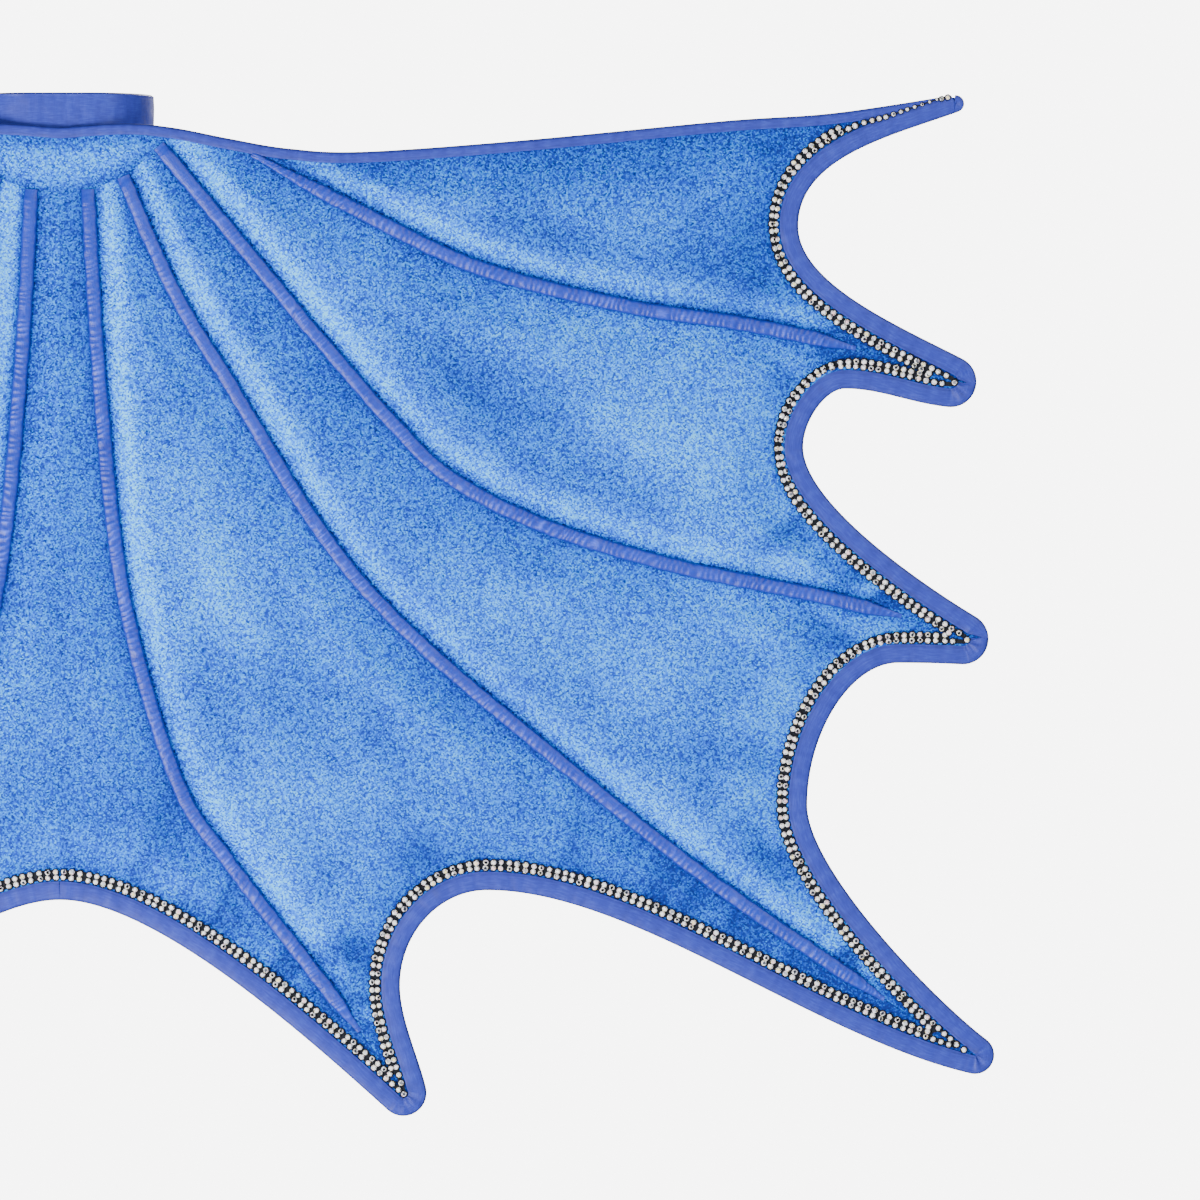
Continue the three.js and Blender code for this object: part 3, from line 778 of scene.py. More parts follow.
def make_piece(
    name: str, shell: Shell, finishes: Sequence[bpy.types.Material], crease: float = 50
) -> bpy.types.Object:
    """Puts a shell into a new mesh object at the origin.

    Args:
        name: the object's name.
        shell: the shell, in millimetres.
        finishes: the materials that its face groups name by number.
        crease: the angle in degrees past which an edge stays sharp.

    Returns:
        The object.
    """
    mesh = bpy.data.meshes.new(name)
    faces = [face for group, _ in shell.groups for face in group.tolist()]
    mesh.from_pydata((shell.points * MM).tolist(), [], faces)
    worn = np.concatenate([np.full(len(group), number) for group, number in shell.groups])
    mesh.polygons.foreach_set("material_index", worn.astype(np.int32))
    mesh.polygons.foreach_set("use_smooth", np.ones(len(worn), bool))
    corners = np.empty(len(mesh.loops), np.int32)
    mesh.loops.foreach_get("vertex_index", corners)
    layer = mesh.uv_layers.new(name="cloth")
    layer.data.foreach_set("uv", shell.cloth[corners].astype(np.float32).ravel())
    for title, values in shell.fields.items():
        spot = mesh.attributes.new(title, "FLOAT", "POINT")
        spot.data.foreach_set("value", values.astype(np.float32))
    for finish in finishes:
        mesh.materials.append(finish)
    mesh.set_sharp_from_angle(angle=math.radians(crease))
    mesh.validate()
    mesh.update()
    piece = bpy.data.objects.new(name, mesh)
    bpy.context.scene.collection.objects.link(piece)
    return piece


def seat(piece: bpy.types.Object, side: Side | None, finish: Finish, *nodes: str) -> bpy.types.Object:
    """Hangs a piece on the cape, hides the frame's nodes that it replaces, and logs its faces.

    Args:
        piece: the finished piece.
        side: the side that it belongs to, whose transform is baked in, or None for a piece that rides on
            the back.
        finish: not used.
        nodes: the frame's nodes that it replaces.

    Returns:
        The piece.
    """
    if side is None:
        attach(piece, "back")
    else:
        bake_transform(piece)
    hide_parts(*nodes)
    LOG.info("%s: %d faces", piece.name, len(piece.data.polygons))
    return piece


# ---------------------------------------------------------------------------------------------
# Shaders
# ---------------------------------------------------------------------------------------------


def linear(code: str) -> tuple[float, float, float, float]:
    """A screen colour such as "4f8fe0" as a linear one with full alpha."""
    parts = [int(code[k : k + 2], 16) / 255 for k in (0, 2, 4)]
    bent = [p / 12.92 if p <= 0.04045 else ((p + 0.055) / 1.055) ** 2.4 for p in parts]
    return (*bent, 1.0)


class Value:
    """A number that a node gives, with arithmetic that adds Math nodes."""

    def __init__(self, shader: "Shader", socket: bpy.types.NodeSocket) -> None:
        """Wraps a node's output."""
        self.shader = shader
        self.socket = socket

    def _math(self, operation: str, first: "Value | float", second: "Value | float" = 0.0) -> "Value":
        """The result of a Math node on two numbers."""
        made = self.shader.node("ShaderNodeMath", {"operation": operation}, {0: first, 1: second})
        return Value(self.shader, made.outputs[0])

    def __add__(self, other: "Value | float") -> "Value":
        """Self plus other."""
        return self._math("ADD", self, other)

    __radd__ = __add__

    def __sub__(self, other: "Value | float") -> "Value":
        """Self less other."""
        return self._math("SUBTRACT", self, other)

    def __rsub__(self, other: "Value | float") -> "Value":
        """Other less self."""
        return self._math("SUBTRACT", other, self)

    def __mul__(self, other: "Value | float") -> "Value":
        """Self times other."""
        return self._math("MULTIPLY", self, other)

    __rmul__ = __mul__

    def __pow__(self, other: "Value | float") -> "Value":
        """Self to the power of other."""
        return self._math("POWER", self, other)

    def over(self, limit: float) -> "Value":
        """1 where the number is over a limit, and 0 elsewhere."""
        return self._math("GREATER_THAN", self, limit)

    def sine(self) -> "Value":
        """The sine of the number."""
        return self._math("SINE", self)

    def ranged(self, low: float, high: float, start: float, stop: float) -> "Value":
        """The number carried smoothly from between low and high to between start and stop."""
        made = self.shader.node(
            "ShaderNodeMapRange",
            {"interpolation_type": "SMOOTHSTEP"},
            {0: self, 1: low, 2: high, 3: start, 4: stop},
        )
        return Value(self.shader, made.outputs[0])


class Shader:
    """A material in the making: a Principled surface and the nodes that feed it."""

    def __init__(self, name: str) -> None:
        """Starts a material with a bare Principled surface."""
        self.material = bpy.data.materials.new(name)
        self.material.use_nodes = True
        self.tree = self.material.node_tree
        self.surface = self.tree.nodes["Principled BSDF"]

    def node(self, kind: str, settings: dict, inputs: dict) -> bpy.types.Node:
        """Adds a node, sets it up, then fills its sockets.

        Args:
            kind: the node's type.
            settings: its settings by name; stops are a ramp's positions and colours.
            inputs: a number, colour, Value or socket for each socket's name or number.

        Returns:
            The node.
        """
        made = self.tree.nodes.new(kind)
        for name, setting in settings.items():
            if name == "stops":
                while len(made.color_ramp.elements) < len(setting):
                    made.color_ramp.elements.new(0.5)
                for element, (position, colour) in zip(made.color_ramp.elements, setting):
                    element.position, element.color = position, colour
            else:
                setattr(made, name, setting)
        for name, value in inputs.items():
            self.feed(made.inputs[name], value)
        return made

    def feed(self, socket: bpy.types.NodeSocket, value: object) -> None:
        """Links a Value or an output to a socket, or sets the socket to a constant."""
        if isinstance(value, Value):
            value = value.socket
        if isinstance(value, bpy.types.NodeSocket):
            self.tree.links.new(value, socket)
        else:
            socket.default_value = value

    def dress(self, **inputs: object) -> bpy.types.Material:
        """Feeds the surface: Base_Color means the socket Base Color.

        Returns:
            The material.
        """
        for name, value in inputs.items():
            self.feed(self.surface.inputs[name.replace("_", " ")], value)
        return self.material

    def cloth(self, scale: Sequence[float] = (1, 1, 1), turn: float = 0.0) -> bpy.types.NodeSocket:
        """The cloth coordinates in metres, times a scale, turned by an angle in degrees."""
        spot = self.node("ShaderNodeUVMap", {"uv_map": "cloth"}, {})
        inputs = {"Vector": spot.outputs[0], "Scale": tuple(scale), "Rotation": (0, 0, math.radians(turn))}
        return self.node("ShaderNodeMapping", {"vector_type": "POINT"}, inputs).outputs[0]

    def across(self, axis: int) -> Value:
        """One cloth coordinate in metres: 0 along, 1 across."""
        spot = self.node("ShaderNodeUVMap", {"uv_map": "cloth"}, {})
        return Value(self, self.node("ShaderNodeSeparateXYZ", {}, {0: spot.outputs[0]}).outputs[axis])

    def noise(self, place: bpy.types.NodeSocket, scale: float, detail: float = 2.0) -> Value:
        """Noise from 0 to 1 at a scale, in cells to the metre."""
        inputs = {"Vector": place, "Scale": scale, "Detail": detail, "Roughness": 0.55}
        made = self.node("ShaderNodeTexNoise", {"noise_dimensions": "2D"}, inputs)
        return Value(self, made.outputs["Fac"])

    def field(self, name: str) -> Value:
        """A value that the mesh carries at each of its points."""
        made = self.node("ShaderNodeAttribute", {"attribute_name": name}, {})
        return Value(self, made.outputs["Fac"])

    def ramp(
        self, value: Value, *stops: tuple[float, tuple[float, float, float, float]]
    ) -> bpy.types.NodeSocket:
        """The colour that a number has on a ramp of stops."""
        return self.node("ShaderNodeValToRGB", {"stops": stops}, {"Fac": value}).outputs["Color"]

    def mix(self, share: "Value | float", first: object, second: object) -> bpy.types.NodeSocket:
        """A colour between two, by a share from 0 to 1."""
        settings = {"data_type": "RGBA"}
        return self.node("ShaderNodeMix", settings, {0: share, 6: first, 7: second}).outputs[2]

    def lit(self, colour: bpy.types.NodeSocket, factor: Value) -> bpy.types.NodeSocket:
        """A colour made lighter or darker by a factor."""
        settings = {"operation": "SCALE"}
        return self.node("ShaderNodeVectorMath", settings, {0: colour, "Scale": factor}).outputs[0]

    def bump(self, height: Value, depth: float, normal: object = None) -> bpy.types.NodeSocket:
        """A normal from a height from 0 to 1, which stands for a depth in metres."""
        inputs = {"Height": height, "Distance": depth, "Strength": 1.0}
        if normal is not None:
            inputs["Normal"] = normal
        return self.node("ShaderNodeBump", {}, inputs).outputs[0]


@dataclass(frozen=True)
class GlitterVelvet:
    """Short-piled velvet with fine glitter: each flake has its own tint, tilt and gloss, and
    the colour is made lighter or darker by painted light and shade that the mesh carries."""

    deep: str = "172a84"
    royal: str = "153cb2"
    middle: str = "1966e0"
    bright: str = "2090ff"
    flash: str = "5cc4ff"
    flake: float = 0.0009
    tilt: float = 0.6

    def material(self) -> bpy.types.Material:
        """The velvet's material."""
        s = Shader("glitter_velvet")
        place = s.cloth()
        settings = {"voronoi_dimensions": "2D", "feature": "F1"}
        flakes = s.node("ShaderNodeTexVoronoi", settings, {"Vector": place, "Scale": 1 / self.flake})
        tint = s.node("ShaderNodeSeparateColor", {}, {0: flakes.outputs["Color"]})
        shade, gloss = Value(s, tint.outputs[0]), Value(s, tint.outputs[2])
        patches = s.noise(place, 34, 4)
        drift = s.noise(s.cloth((1, 0.45, 1), 35), 9, 2)
        # Painted light and shade that the mesh carries, with a little random tone; it moves the colour
        # along the ramp.
        nap = s.field("nap")
        mottle_and_painted_light = shade * 0.78 + patches * 0.24 + nap * 0.62 + (drift - 0.5) * 0.12 - 0.34
        colour = s.ramp(
            mottle_and_painted_light,
            (0.06, linear(self.deep)),
            (0.26, linear(self.royal)),
            (0.50, linear(self.middle)),
            (0.74, linear(self.bright)),
            (0.98, linear(self.flash)),
        )
        # The same painted light and shade also scales the colour's brightness.
        painted_lightness = nap.ranged(0, 1, 0.78, 1.16)
        glints = gloss.ranged(0.80, 0.94, 0, 1)
        random, kind = flakes.outputs["Color"], "ShaderNodeVectorMath"
        loose = s.node(kind, {"operation": "SUBTRACT"}, {0: random, 1: (0.5, 0.5, 0.5)})
        leaning = s.node(kind, {"operation": "SCALE"}, {0: loose.outputs[0], "Scale": self.tilt})
        face = s.node("ShaderNodeNewGeometry", {}, {})
        inputs = {0: face.outputs["Normal"], 1: leaning.outputs[0]}
        summed = s.node(kind, {"operation": "ADD"}, inputs)
        tilted = s.node(kind, {"operation": "NORMALIZE"}, {0: summed.outputs[0]})
        pile_height = s.noise(place, 1500, 2) * 0.5 + patches * 0.5
        return s.dress(
            Base_Color=s.lit(colour, painted_lightness),
            Roughness=0.72 - glints * 0.4,
            Metallic=glints * 0.6,
            Specular_IOR_Level=0.08,
            Sheen_Weight=0.06,
            Sheen_Roughness=0.4,
            Sheen_Tint=linear("3a80ff"),
            Normal=s.bump(pile_height, 0.0004, tilted.outputs[0]),
        )


@dataclass(frozen=True)
class Satin:
    """Smooth satin strip: fine threads across it, soft puckers, painted shade and highlight on its creases,
    and painted shade along its turned edges.
    """

    name: str = "satin"
    face: str = "25329a"
    shade: str = "1d297e"
    light: str = "3549b2"
    thread: float = 2600
    pucker: float = 0.0003
    gloss: float = 0.40

    def material(self) -> bpy.types.Material:
        """The satin's material."""
        s = Shader(self.name)
        place = s.cloth()
        along, across = s.across(0), s.across(1)
        slub = s.noise(s.cloth((1, 7, 1)), 160, 3)
        crease = s.noise(s.cloth((1, 0.22, 1)), 150, 3)
        threads = (along * (self.thread * 2 * math.pi)).sine() * 0.5 + 0.5
        picks = (across * (self.thread * math.pi)).sine() * 0.5 + 0.5
        # Random tone from the slubs, plus painted highlight on the raised creases and painted shade in the
        # low ones: the crease noise also makes the bump.
        tone_and_painted_light = slub * 0.5 + crease * 0.35 + s.noise(place, 18, 2) * 0.15
        colour = s.ramp(
            tone_and_painted_light,
            (0.25, linear(self.shade)),
            (0.50, linear(self.face)),
            (0.78, linear(self.light)),
        )
        # Painted shade along the turned edges and the hem.
        edge = s.field("fold")
        height = crease * 0.8 + (threads + picks) * 0.05
        return s.dress(
            Base_Color=s.lit(colour, 1.0 - edge * 0.45),
            Roughness=self.gloss + slub * 0.16,
            Specular_IOR_Level=0.3,
            Normal=s.bump(height, self.pucker),
        )


@dataclass(frozen=True)
class RuchedSatin:
    """Gathered satin over a rib: a painted highlight in lilac on its crown and folds, and painted shade in
    deep blue between them and at its feet.
    """

    deep: str = "0c2492"
    middle: str = "1838b4"
    light: str = "526cf6"

    def material(self) -> bpy.types.Material:
        """The rib casing's material."""
        s = Shader("ruched_satin")
        # Painted highlight and shade that the mesh carries, with random tone from the slubs.
        rise = s.field("rise")
        slub = s.noise(s.cloth((1, 5, 1)), 300, 3)
        colour = s.ramp(
            rise * 0.85 + slub * 0.3 - 0.08,
            (0.10, linear(self.deep)),
            (0.50, linear(self.middle)),
            (0.92, linear(self.light)),
        )
        fine = s.noise(s.cloth((1, 0.4, 1)), 900, 2)
        return s.dress(
            Base_Color=colour,
            Roughness=0.30 + slub * 0.18,
            Specular_IOR_Level=0.4,
            Normal=s.bump(fine * 0.5 + slub * 0.5, 0.0003),
        )


@dataclass(frozen=True)
class Lining:
    """Plain thin satin lining: crossed threads, long soft creases with painted shade and highlight on them,
    and sewn lines.
    """

    face: str = "1f2c86"
    shade: str = "161f66"
    light: str = "2f3fa6"

    def material(self) -> bpy.types.Material:
        """The lining's material."""
        s = Shader("lining")
        place = s.cloth()
        drift = s.noise(s.cloth((1, 0.35, 1), 28), 26, 4)
        slub = s.noise(s.cloth((9, 1, 1)), 120, 3)
        warp = (s.across(0) * 9000.0).sine() * 0.5 + 0.5
        weft = (s.across(1) * 9000.0).sine() * 0.5 + 0.5
        seam = s.field("seam")
        # Random tone from the slubs, plus painted highlight on the raised creases and painted shade in the
        # low ones: the drift noise also makes the bump.
        colour = s.ramp(
            drift * 0.6 + slub * 0.4,
            (0.28, linear(self.shade)),
            (0.52, linear(self.face)),
            (0.80, linear(self.light)),
        )
        return s.dress(
            Base_Color=s.lit(colour, 1.0 - seam * 0.35),
            Roughness=0.40 + slub * 0.2,
            Specular_IOR_Level=0.35,
            Normal=s.bump(drift * 0.7 + (warp + weft) * 0.04 + s.noise(place, 260, 2) * 0.2, 0.0007),
        )


@dataclass(frozen=True)
class Crystal:
    """Foiled glass stone with painted reflections: each facet is painted clear white, dark, faintly pink or
    pale yellow at random, for what it reflects.
    """

    def material(self) -> bpy.types.Material:
        """The stones' material."""
        s = Shader("stone")
        facet = s.field("facet")
        # Painted reflections: each face's random value picks a colour from dark to white, pink or yellow,
        # and also sets its metal, roughness and coat.
        colour = s.ramp(
            facet,
            (0.0, linear("0b0d13")),
            (0.20, linear("343a48")),
            (0.30, linear("cfd4e0")),
            (0.46, linear("ffffff")),
            (0.80, linear("ffffff")),
            (0.88, linear("ffc4d6")),
            (0.95, linear("fff0a4")),
        )
        return s.dress(
            Base_Color=colour,
            Metallic=facet.ranged(0.05, 0.45, 0.6, 0.0),
            Roughness=facet.ranged(0.0, 1.0, 0.05, 0.22),
            Coat_Weight=facet.ranged(0.2, 0.9, 0.2, 1.0),
            Coat_Roughness=0.04,
        )


@dataclass(frozen=True)
class DarkNet:
    """Black cups and net that hold the stones: moulded, a little lighter and rougher in random patches that
    also raise its bump.
    """

    def material(self) -> bpy.types.Material:
        """The cups' material."""
        s = Shader("dark_net")
        patch_noise = s.noise(s.cloth(), 700, 3)
        # Lighter in random patches, where the bump also rises.
        colour = s.ramp(patch_noise, (0.35, linear("05070c")), (0.75, linear("171c2a")))
        return s.dress(
            Base_Color=colour,
            Roughness=0.55 + patch_noise * 0.2,
            Specular_IOR_Level=0.2,
            Normal=s.bump(patch_noise, 0.0002),
        )


@dataclass(frozen=True)
class Ribbed:
    """Narrow ribbed cloth: elastic or tape, with ridges along or across it, and painted shade between them.
    """

    name: str
    face: str
    shade: str
    pitch: float
    axis: int
    depth: float

    def material(self) -> bpy.types.Material:
        """The ribbed cloth's material."""
        s = Shader(self.name)
        ridge = (s.across(self.axis) * (2 * math.pi / self.pitch)).sine() * 0.5 + 0.5
        fuzz = s.noise(s.cloth(), 1800, 3)
        # Painted shade in the grooves between the ridges, with random tone from the fuzz.
        colour = s.mix(ridge * 0.7 + fuzz * 0.3, linear(self.shade), linear(self.face))
        return s.dress(
            Base_Color=colour,
            Roughness=0.72 + fuzz * 0.2,
            Specular_IOR_Level=0.3,
            Normal=s.bump(ridge * 0.7 + fuzz * 0.5, self.depth),
        )


@dataclass(frozen=True)
class StayPlastic:
    """Milky flat boning with a fine grain along it."""

    def material(self) -> bpy.types.Material:
        """The stays' material."""
        s = Shader("stay_plastic")
        grain = s.noise(s.cloth((1, 12, 1)), 220, 3)
        colour = s.ramp(grain, (0.3, linear("cfd0c8")), (0.7, linear("e9e9e2")))
        return s.dress(Base_Color=colour, Roughness=0.38 + grain * 0.2, Normal=s.bump(grain, 0.0001))


# ---------------------------------------------------------------------------------------------
# The cape's pieces
# ---------------------------------------------------------------------------------------------


@dataclass
class Wardrobe:
    """The finished materials, each made once."""

    velvet: bpy.types.Material
    satin: bpy.types.Material
    ruched: bpy.types.Material
    lining: bpy.types.Material
    stone: bpy.types.Material
    net: bpy.types.Material
    stay: bpy.types.Material
    elastic: bpy.types.Material
    hooks: bpy.types.Material
    loops: bpy.types.Material

    @classmethod
    def made(cls) -> "Wardrobe":
        """All the materials."""
        return cls(
            velvet=GlitterVelvet().material(),
            satin=Satin().material(),
            ruched=RuchedSatin().material(),
            lining=Lining().material(),
            stone=Crystal().material(),
            net=DarkNet().material(),
            stay=StayPlastic().material(),
            elastic=Ribbed("elastic", "2430a0", "171f70", 0.0011, 1, 0.0003).material(),
            hooks=Ribbed("hook_tape", "1c2880", "0f174a", 0.0009, 0, 0.0004).material(),
            loops=Ribbed("loop_tape", "202c88", "121a54", 0.0016, 0, 0.0006).material(),
        )


@dataclass
class Cloth:
    """The velvet panels and the lining: sheets that fill the pattern between their seams."""

    wardrobe: Wardrobe
    step: float = 3.7
    tuck: float = 1.5
    gap: float = 0.3
    lining: float = 0.8
    face_depth: float = 2.3
    thickness: float = 1.2
    puff: float = 4.6
    trim_inside: float = 19.8
    lining_yoke: float = -4.0
    lining_seam: float = 3.0
    least_share: float = 0.3

    def grid(
        self, index: int, step: float, gap: float, yoke: float, moved: float = 0.0, rows: int = 0
    ) -> np.ndarray:
        """A panel's grid on the flat cut.

        Args:
            index: which panel, the centre half being number 4.
            step: about how far apart the points are.
            gap: the clearance between panels at a rib.
            yoke: how far outside the yoke's circle the cloth starts.
            moved: how far towards the wing the back's own seam lies.
            rows: how many points along a rib, or 0 to work it out from the step.

        Returns:
            Points of shape (u, v, 2).
        """
        upper, lower, near, far = PATTERN.sides(index, self.tuck, gap, yoke, moved)
        rows = rows or int(max(lengths(upper)[-1], lengths(lower)[-1]) / step)
        columns = max(6, int(max(lengths(near)[-1], lengths(far)[-1]) / step))
        long_sides = resized(upper, rows), resized(lower, rows)
        return self.relaxed(coons(*long_sides, resized(near, columns), resized(far, columns)))

    def relaxed(self, grid: np.ndarray, rounds: int = 60) -> np.ndarray:
        """The grid evened out: each inner point moves halfway to the mean of its four
        neighbours, again and again."""
        for _ in range(rounds):
            mean = (grid[:-2, 1:-1] + grid[2:, 1:-1] + grid[1:-1, :-2] + grid[1:-1, 2:]) / 4
            grid[1:-1, 1:-1] = (grid[1:-1, 1:-1] + mean) / 2
        return grid

    def near(self, points: np.ndarray, line: Line) -> tuple[np.ndarray, np.ndarray]:
        """How far points are from a line, and how far along it the nearest place lies."""
        coarse = resampled(line, 4.0)
        a, way = coarse[:-1], np.diff(coarse, axis=0)
        size = np.maximum((way**2).sum(1), 1e-9)
        apart = points[:, None] - a[None]
        share = np.clip((apart * way[None]).sum(2) / size, 0, 1)
        gap = np.linalg.norm(apart - share[..., None] * way[None], axis=2)
        nearest = gap.argmin(1)
        picked = np.arange(len(points)), nearest
        return gap[picked], lengths(coarse)[nearest] + share[picked] * np.sqrt(size[nearest])

    def seam(self, index: int, points: np.ndarray) -> np.ndarray:
        """How far points of a panel are from the nearest casing, trim, binding or yoke."""
        ribs = [PATTERN.cuts[k] for k in ((3,) if index == 4 else (index - 1, index)) if k >= 0]
        rib = distance_to(points, ribs) - 4.5
        edge = distance_to(points, PATTERN.outline_of(index)[:1]) - self.trim_inside
        top = distance_to(points, [PATTERN.top]) - 7
        yoke = np.linalg.norm(points - np.array([0, PATTERN.yoke_z]), axis=1) - PATTERN.yoke_radius
        return np.min([rib, edge, top, yoke + 2], axis=0)

    def relief(self, index: int, points: np.ndarray, seed: int) -> tuple[np.ndarray, np.ndarray]:
        """How far each point of a panel stands out, and the painted light and shade of its colour.

        The cloth swells away from its seams, up to the puff. On that come long soft folds
        that fan from the neck, short puckers that cross each seam and die away from it, and
        creases that run in from the edge where the cloth narrows towards a tip. The colour is
        given painted light and shade: a painted highlight just above a rib, painted shadow
        beside the casings, and painted shade in the creases and by the stones.

        Args:
            index: which panel.
            points: rows of X and Z.
            seed: picks the folds.

        Returns:
            The height in millimetres, and the painted light and shade from 0, dark, to 1, light, with a
            little random tone.
        """
        ribs = [PATTERN.cuts[k] for k in ((3,) if index == 4 else (index - 1, index)) if k >= 0]
        upper = distance_to(points, [PATTERN.top] if index == 0 else ribs[:1])
        lower = distance_to(points, ribs[-1:]) if index < 4 else np.full(len(points), 400.0)
        rib = np.minimum(upper, lower) if index else lower
        outline = PATTERN.outline_of(index)[0]
        edge, along_edge = self.near(points, outline)
        seam = self.seam(index, points)
        x, z = points.T
        radius, angle = np.hypot(x, z - 40), np.arctan2(x, 40 - z)
        run = soft_noise(x, z, 30, seed + 2)
        swell = eased(seam, 0, 30) * self.puff
        folds = soft_noise(angle * 340, radius * 0.3, 34, seed)
        folds = folds + 0.5 * soft_noise(angle * 420, radius * 0.45, 17, seed + 1)
        folds = folds * eased(seam, 3, 45) * 1.8
        _, along = self.near(points, ribs[-1])
        pucker = soft_noise(along + run * 2, rib * 0.25, 4.5, seed + 3)
        pucker = pucker * np.exp(-np.maximum(rib - 4, 0) / 7) * eased(rib, 3.5, 7) * 0.5
        inside = np.maximum(edge - self.trim_inside, 0)
        wedge = np.exp(-inside / 20) * np.exp(-np.maximum(np.minimum(rib, 400) - 12, 0) / 26)
        creases = soft_noise(along_edge + 6 * run, inside * 0.12, 8.5, seed + 4)
        creases = np.clip(creases * 1.5, 0, 1) ** 1.3 * wedge * eased(seam, -8, 3)
        rays = soft_noise(along_edge + 5 * run, inside * 0.05, 12, seed + 8)
        beside = np.maximum(np.minimum(rib, 400) - 10, 0)
        rays = np.clip(rays * 1.7 - 0.15, 0, 1) * np.exp(-inside / 27 - beside / 36)
        creases = creases + 0.7 * rays * eased(seam, -2, 4)
        slack = soft_noise(along_edge + 9 * run, inside * 0.07, 19, seed + 7)
        slack = np.clip(slack - 0.15, 0, 1) * np.exp(-inside / 34) * eased(seam, 0, 12)
        grain = soft_noise(x, z, 9, seed + 5) * eased(seam, 0, 14) * 0.2
        height = swell + folds + pucker - 2.4 * creases - 1.8 * slack + grain
        # Painted highlight: a light band about 14 mm above the lower rib, stronger towards the neck.
        painted_highlight = np.exp(-(((lower - 14) / 7) ** 2)) * (0.5 + 0.5 * eased(-radius, -520, -200))
        # Painted shadow in a band beside the lower casing, then painted shade beside the upper rib or the
        # top binding.
        nap = 0.50 + 0.40 * painted_highlight - 0.42 * np.exp(-(((lower - 3.5) / 3.6) ** 2))
        nap = nap - 0.36 * np.exp(-np.maximum(upper - 4, 0) / (9 if index == 0 else 5))
        # Painted shade by the stones, in the creases and in the slack folds; then a little random tone, and
        # painted light on the raised folds.
        nap = nap - 0.16 * np.exp(-inside / 5) - 0.85 * creases - 0.45 * slack
        nap = nap + 0.10 * soft_noise(x, z, 60, seed + 6) + 0.08 * folds
        # Set offsets per panel: darker on the first, lighter towards the outer ends of the second and
        # third, and on the fourth lighter towards the neck and a little darker overall.
        if index == 0:
            nap = nap - 0.09
        elif index < 3:
            nap = nap + (0.15 if index == 1 else 0.22) * eased(x, 270, 410)
        elif index == 3:
            nap = nap + 0.08 * eased(-x, -330, -150) - 0.05
        return np.maximum(height, -0.15), np.clip(nap, 0, 1)

    def velvet(self, index: int, side: Side) -> bpy.types.Object:
        """One velvet panel of a side, the centre half being number 4."""
        seed = 100 + 20 * index + (0 if side is Side.RIGHT else 300)
        grid = self.grid(index, self.step, self.gap, 0.3)
        flat, faces = welded(grid.reshape(-1, 2), grid_quads(*grid.shape[:2]))
        height, nap = self.relief(index, flat, seed if index < 4 else 180)
        y = CAPE_Y - self.face_depth - height
        shell = slab(np.column_stack([flat[:, 0], y, flat[:, 1]]), faces, self.thickness)
        shell.fields["nap"] = np.tile(nap, 2)
        name = f"{side.word}_centre_velvet" if index == 4 else f"{side.word}_velvet_panel_{index + 1}"
        node = "centre_velvet" if index == 4 else name
        piece = make_piece(f"{name}_cloth", shell.on(side), [self.wardrobe.velvet])
        seat(piece, side, Finish.VELVET, node)
        self.declare(piece, flat, faces, ["neckband", f"{side.word}_rib_{min(index, 3) + 1}_stay"])
        return piece

    def declare(
        self, piece: bpy.types.Object, flat: np.ndarray, faces: list[np.ndarray], held: list[str]
    ) -> None:
        """Says what a sheet was cut to: the box round its flat cut, and the cut's own area.

        For a cut that fills too little of its box, as the centre half does, the mean width,
        which is the area divided by the length, is worked out after the log and not used. A
        cut that fills too little of its box to be declared so, as the centre half does, is
        given by its length and its mean width, which is the area divided by the length.
        """
        area = 0.0
        for group in faces:
            corners = flat[group]
            area += float(np.abs(cross2(corners, np.roll(corners, -1, axis=1)).sum(1)).sum()) / 2
        angles = np.radians(np.arange(0, 90, 2.5))
        ways = np.stack([np.column_stack([np.cos(a), np.sin(a)]) for a in (angles, angles + math.pi / 2)])
        spans = np.ptp(np.einsum("pk,wak->wap", flat, ways), axis=2)
        width, length = sorted(spans[:, spans.prod(0).argmin()])
        share = area / (width * length)
        text = "%s: flat %.1f x %.1f mm, area %.0f mm2, share %.3f"
        LOG.info(text, piece.name, width, length, area, share)
        if share < self.least_share:
            width = area / length
        inputs = {} if share < self.least_share or share > 0.98 else {"area": area * MM * MM}

    def wing_lining(self, side: Side) -> bpy.types.Object:
        """A wing's lining: its four panels' cuts sewn into one sheet."""
        points, quads, start = [], [], 0
        for index in range(4):
            grid = self.grid(index, 5.6, 0.0, self.lining_yoke + 0.05, self.lining_seam, rows=106)
            points.append(grid.reshape(-1, 2))
            quads.append(grid_quads(*grid.shape[:2]) + start)
            start += len(points[-1])
        return self.lining_sheet(f"{side.word}_lining", side, np.concatenate(points), np.concatenate(quads))

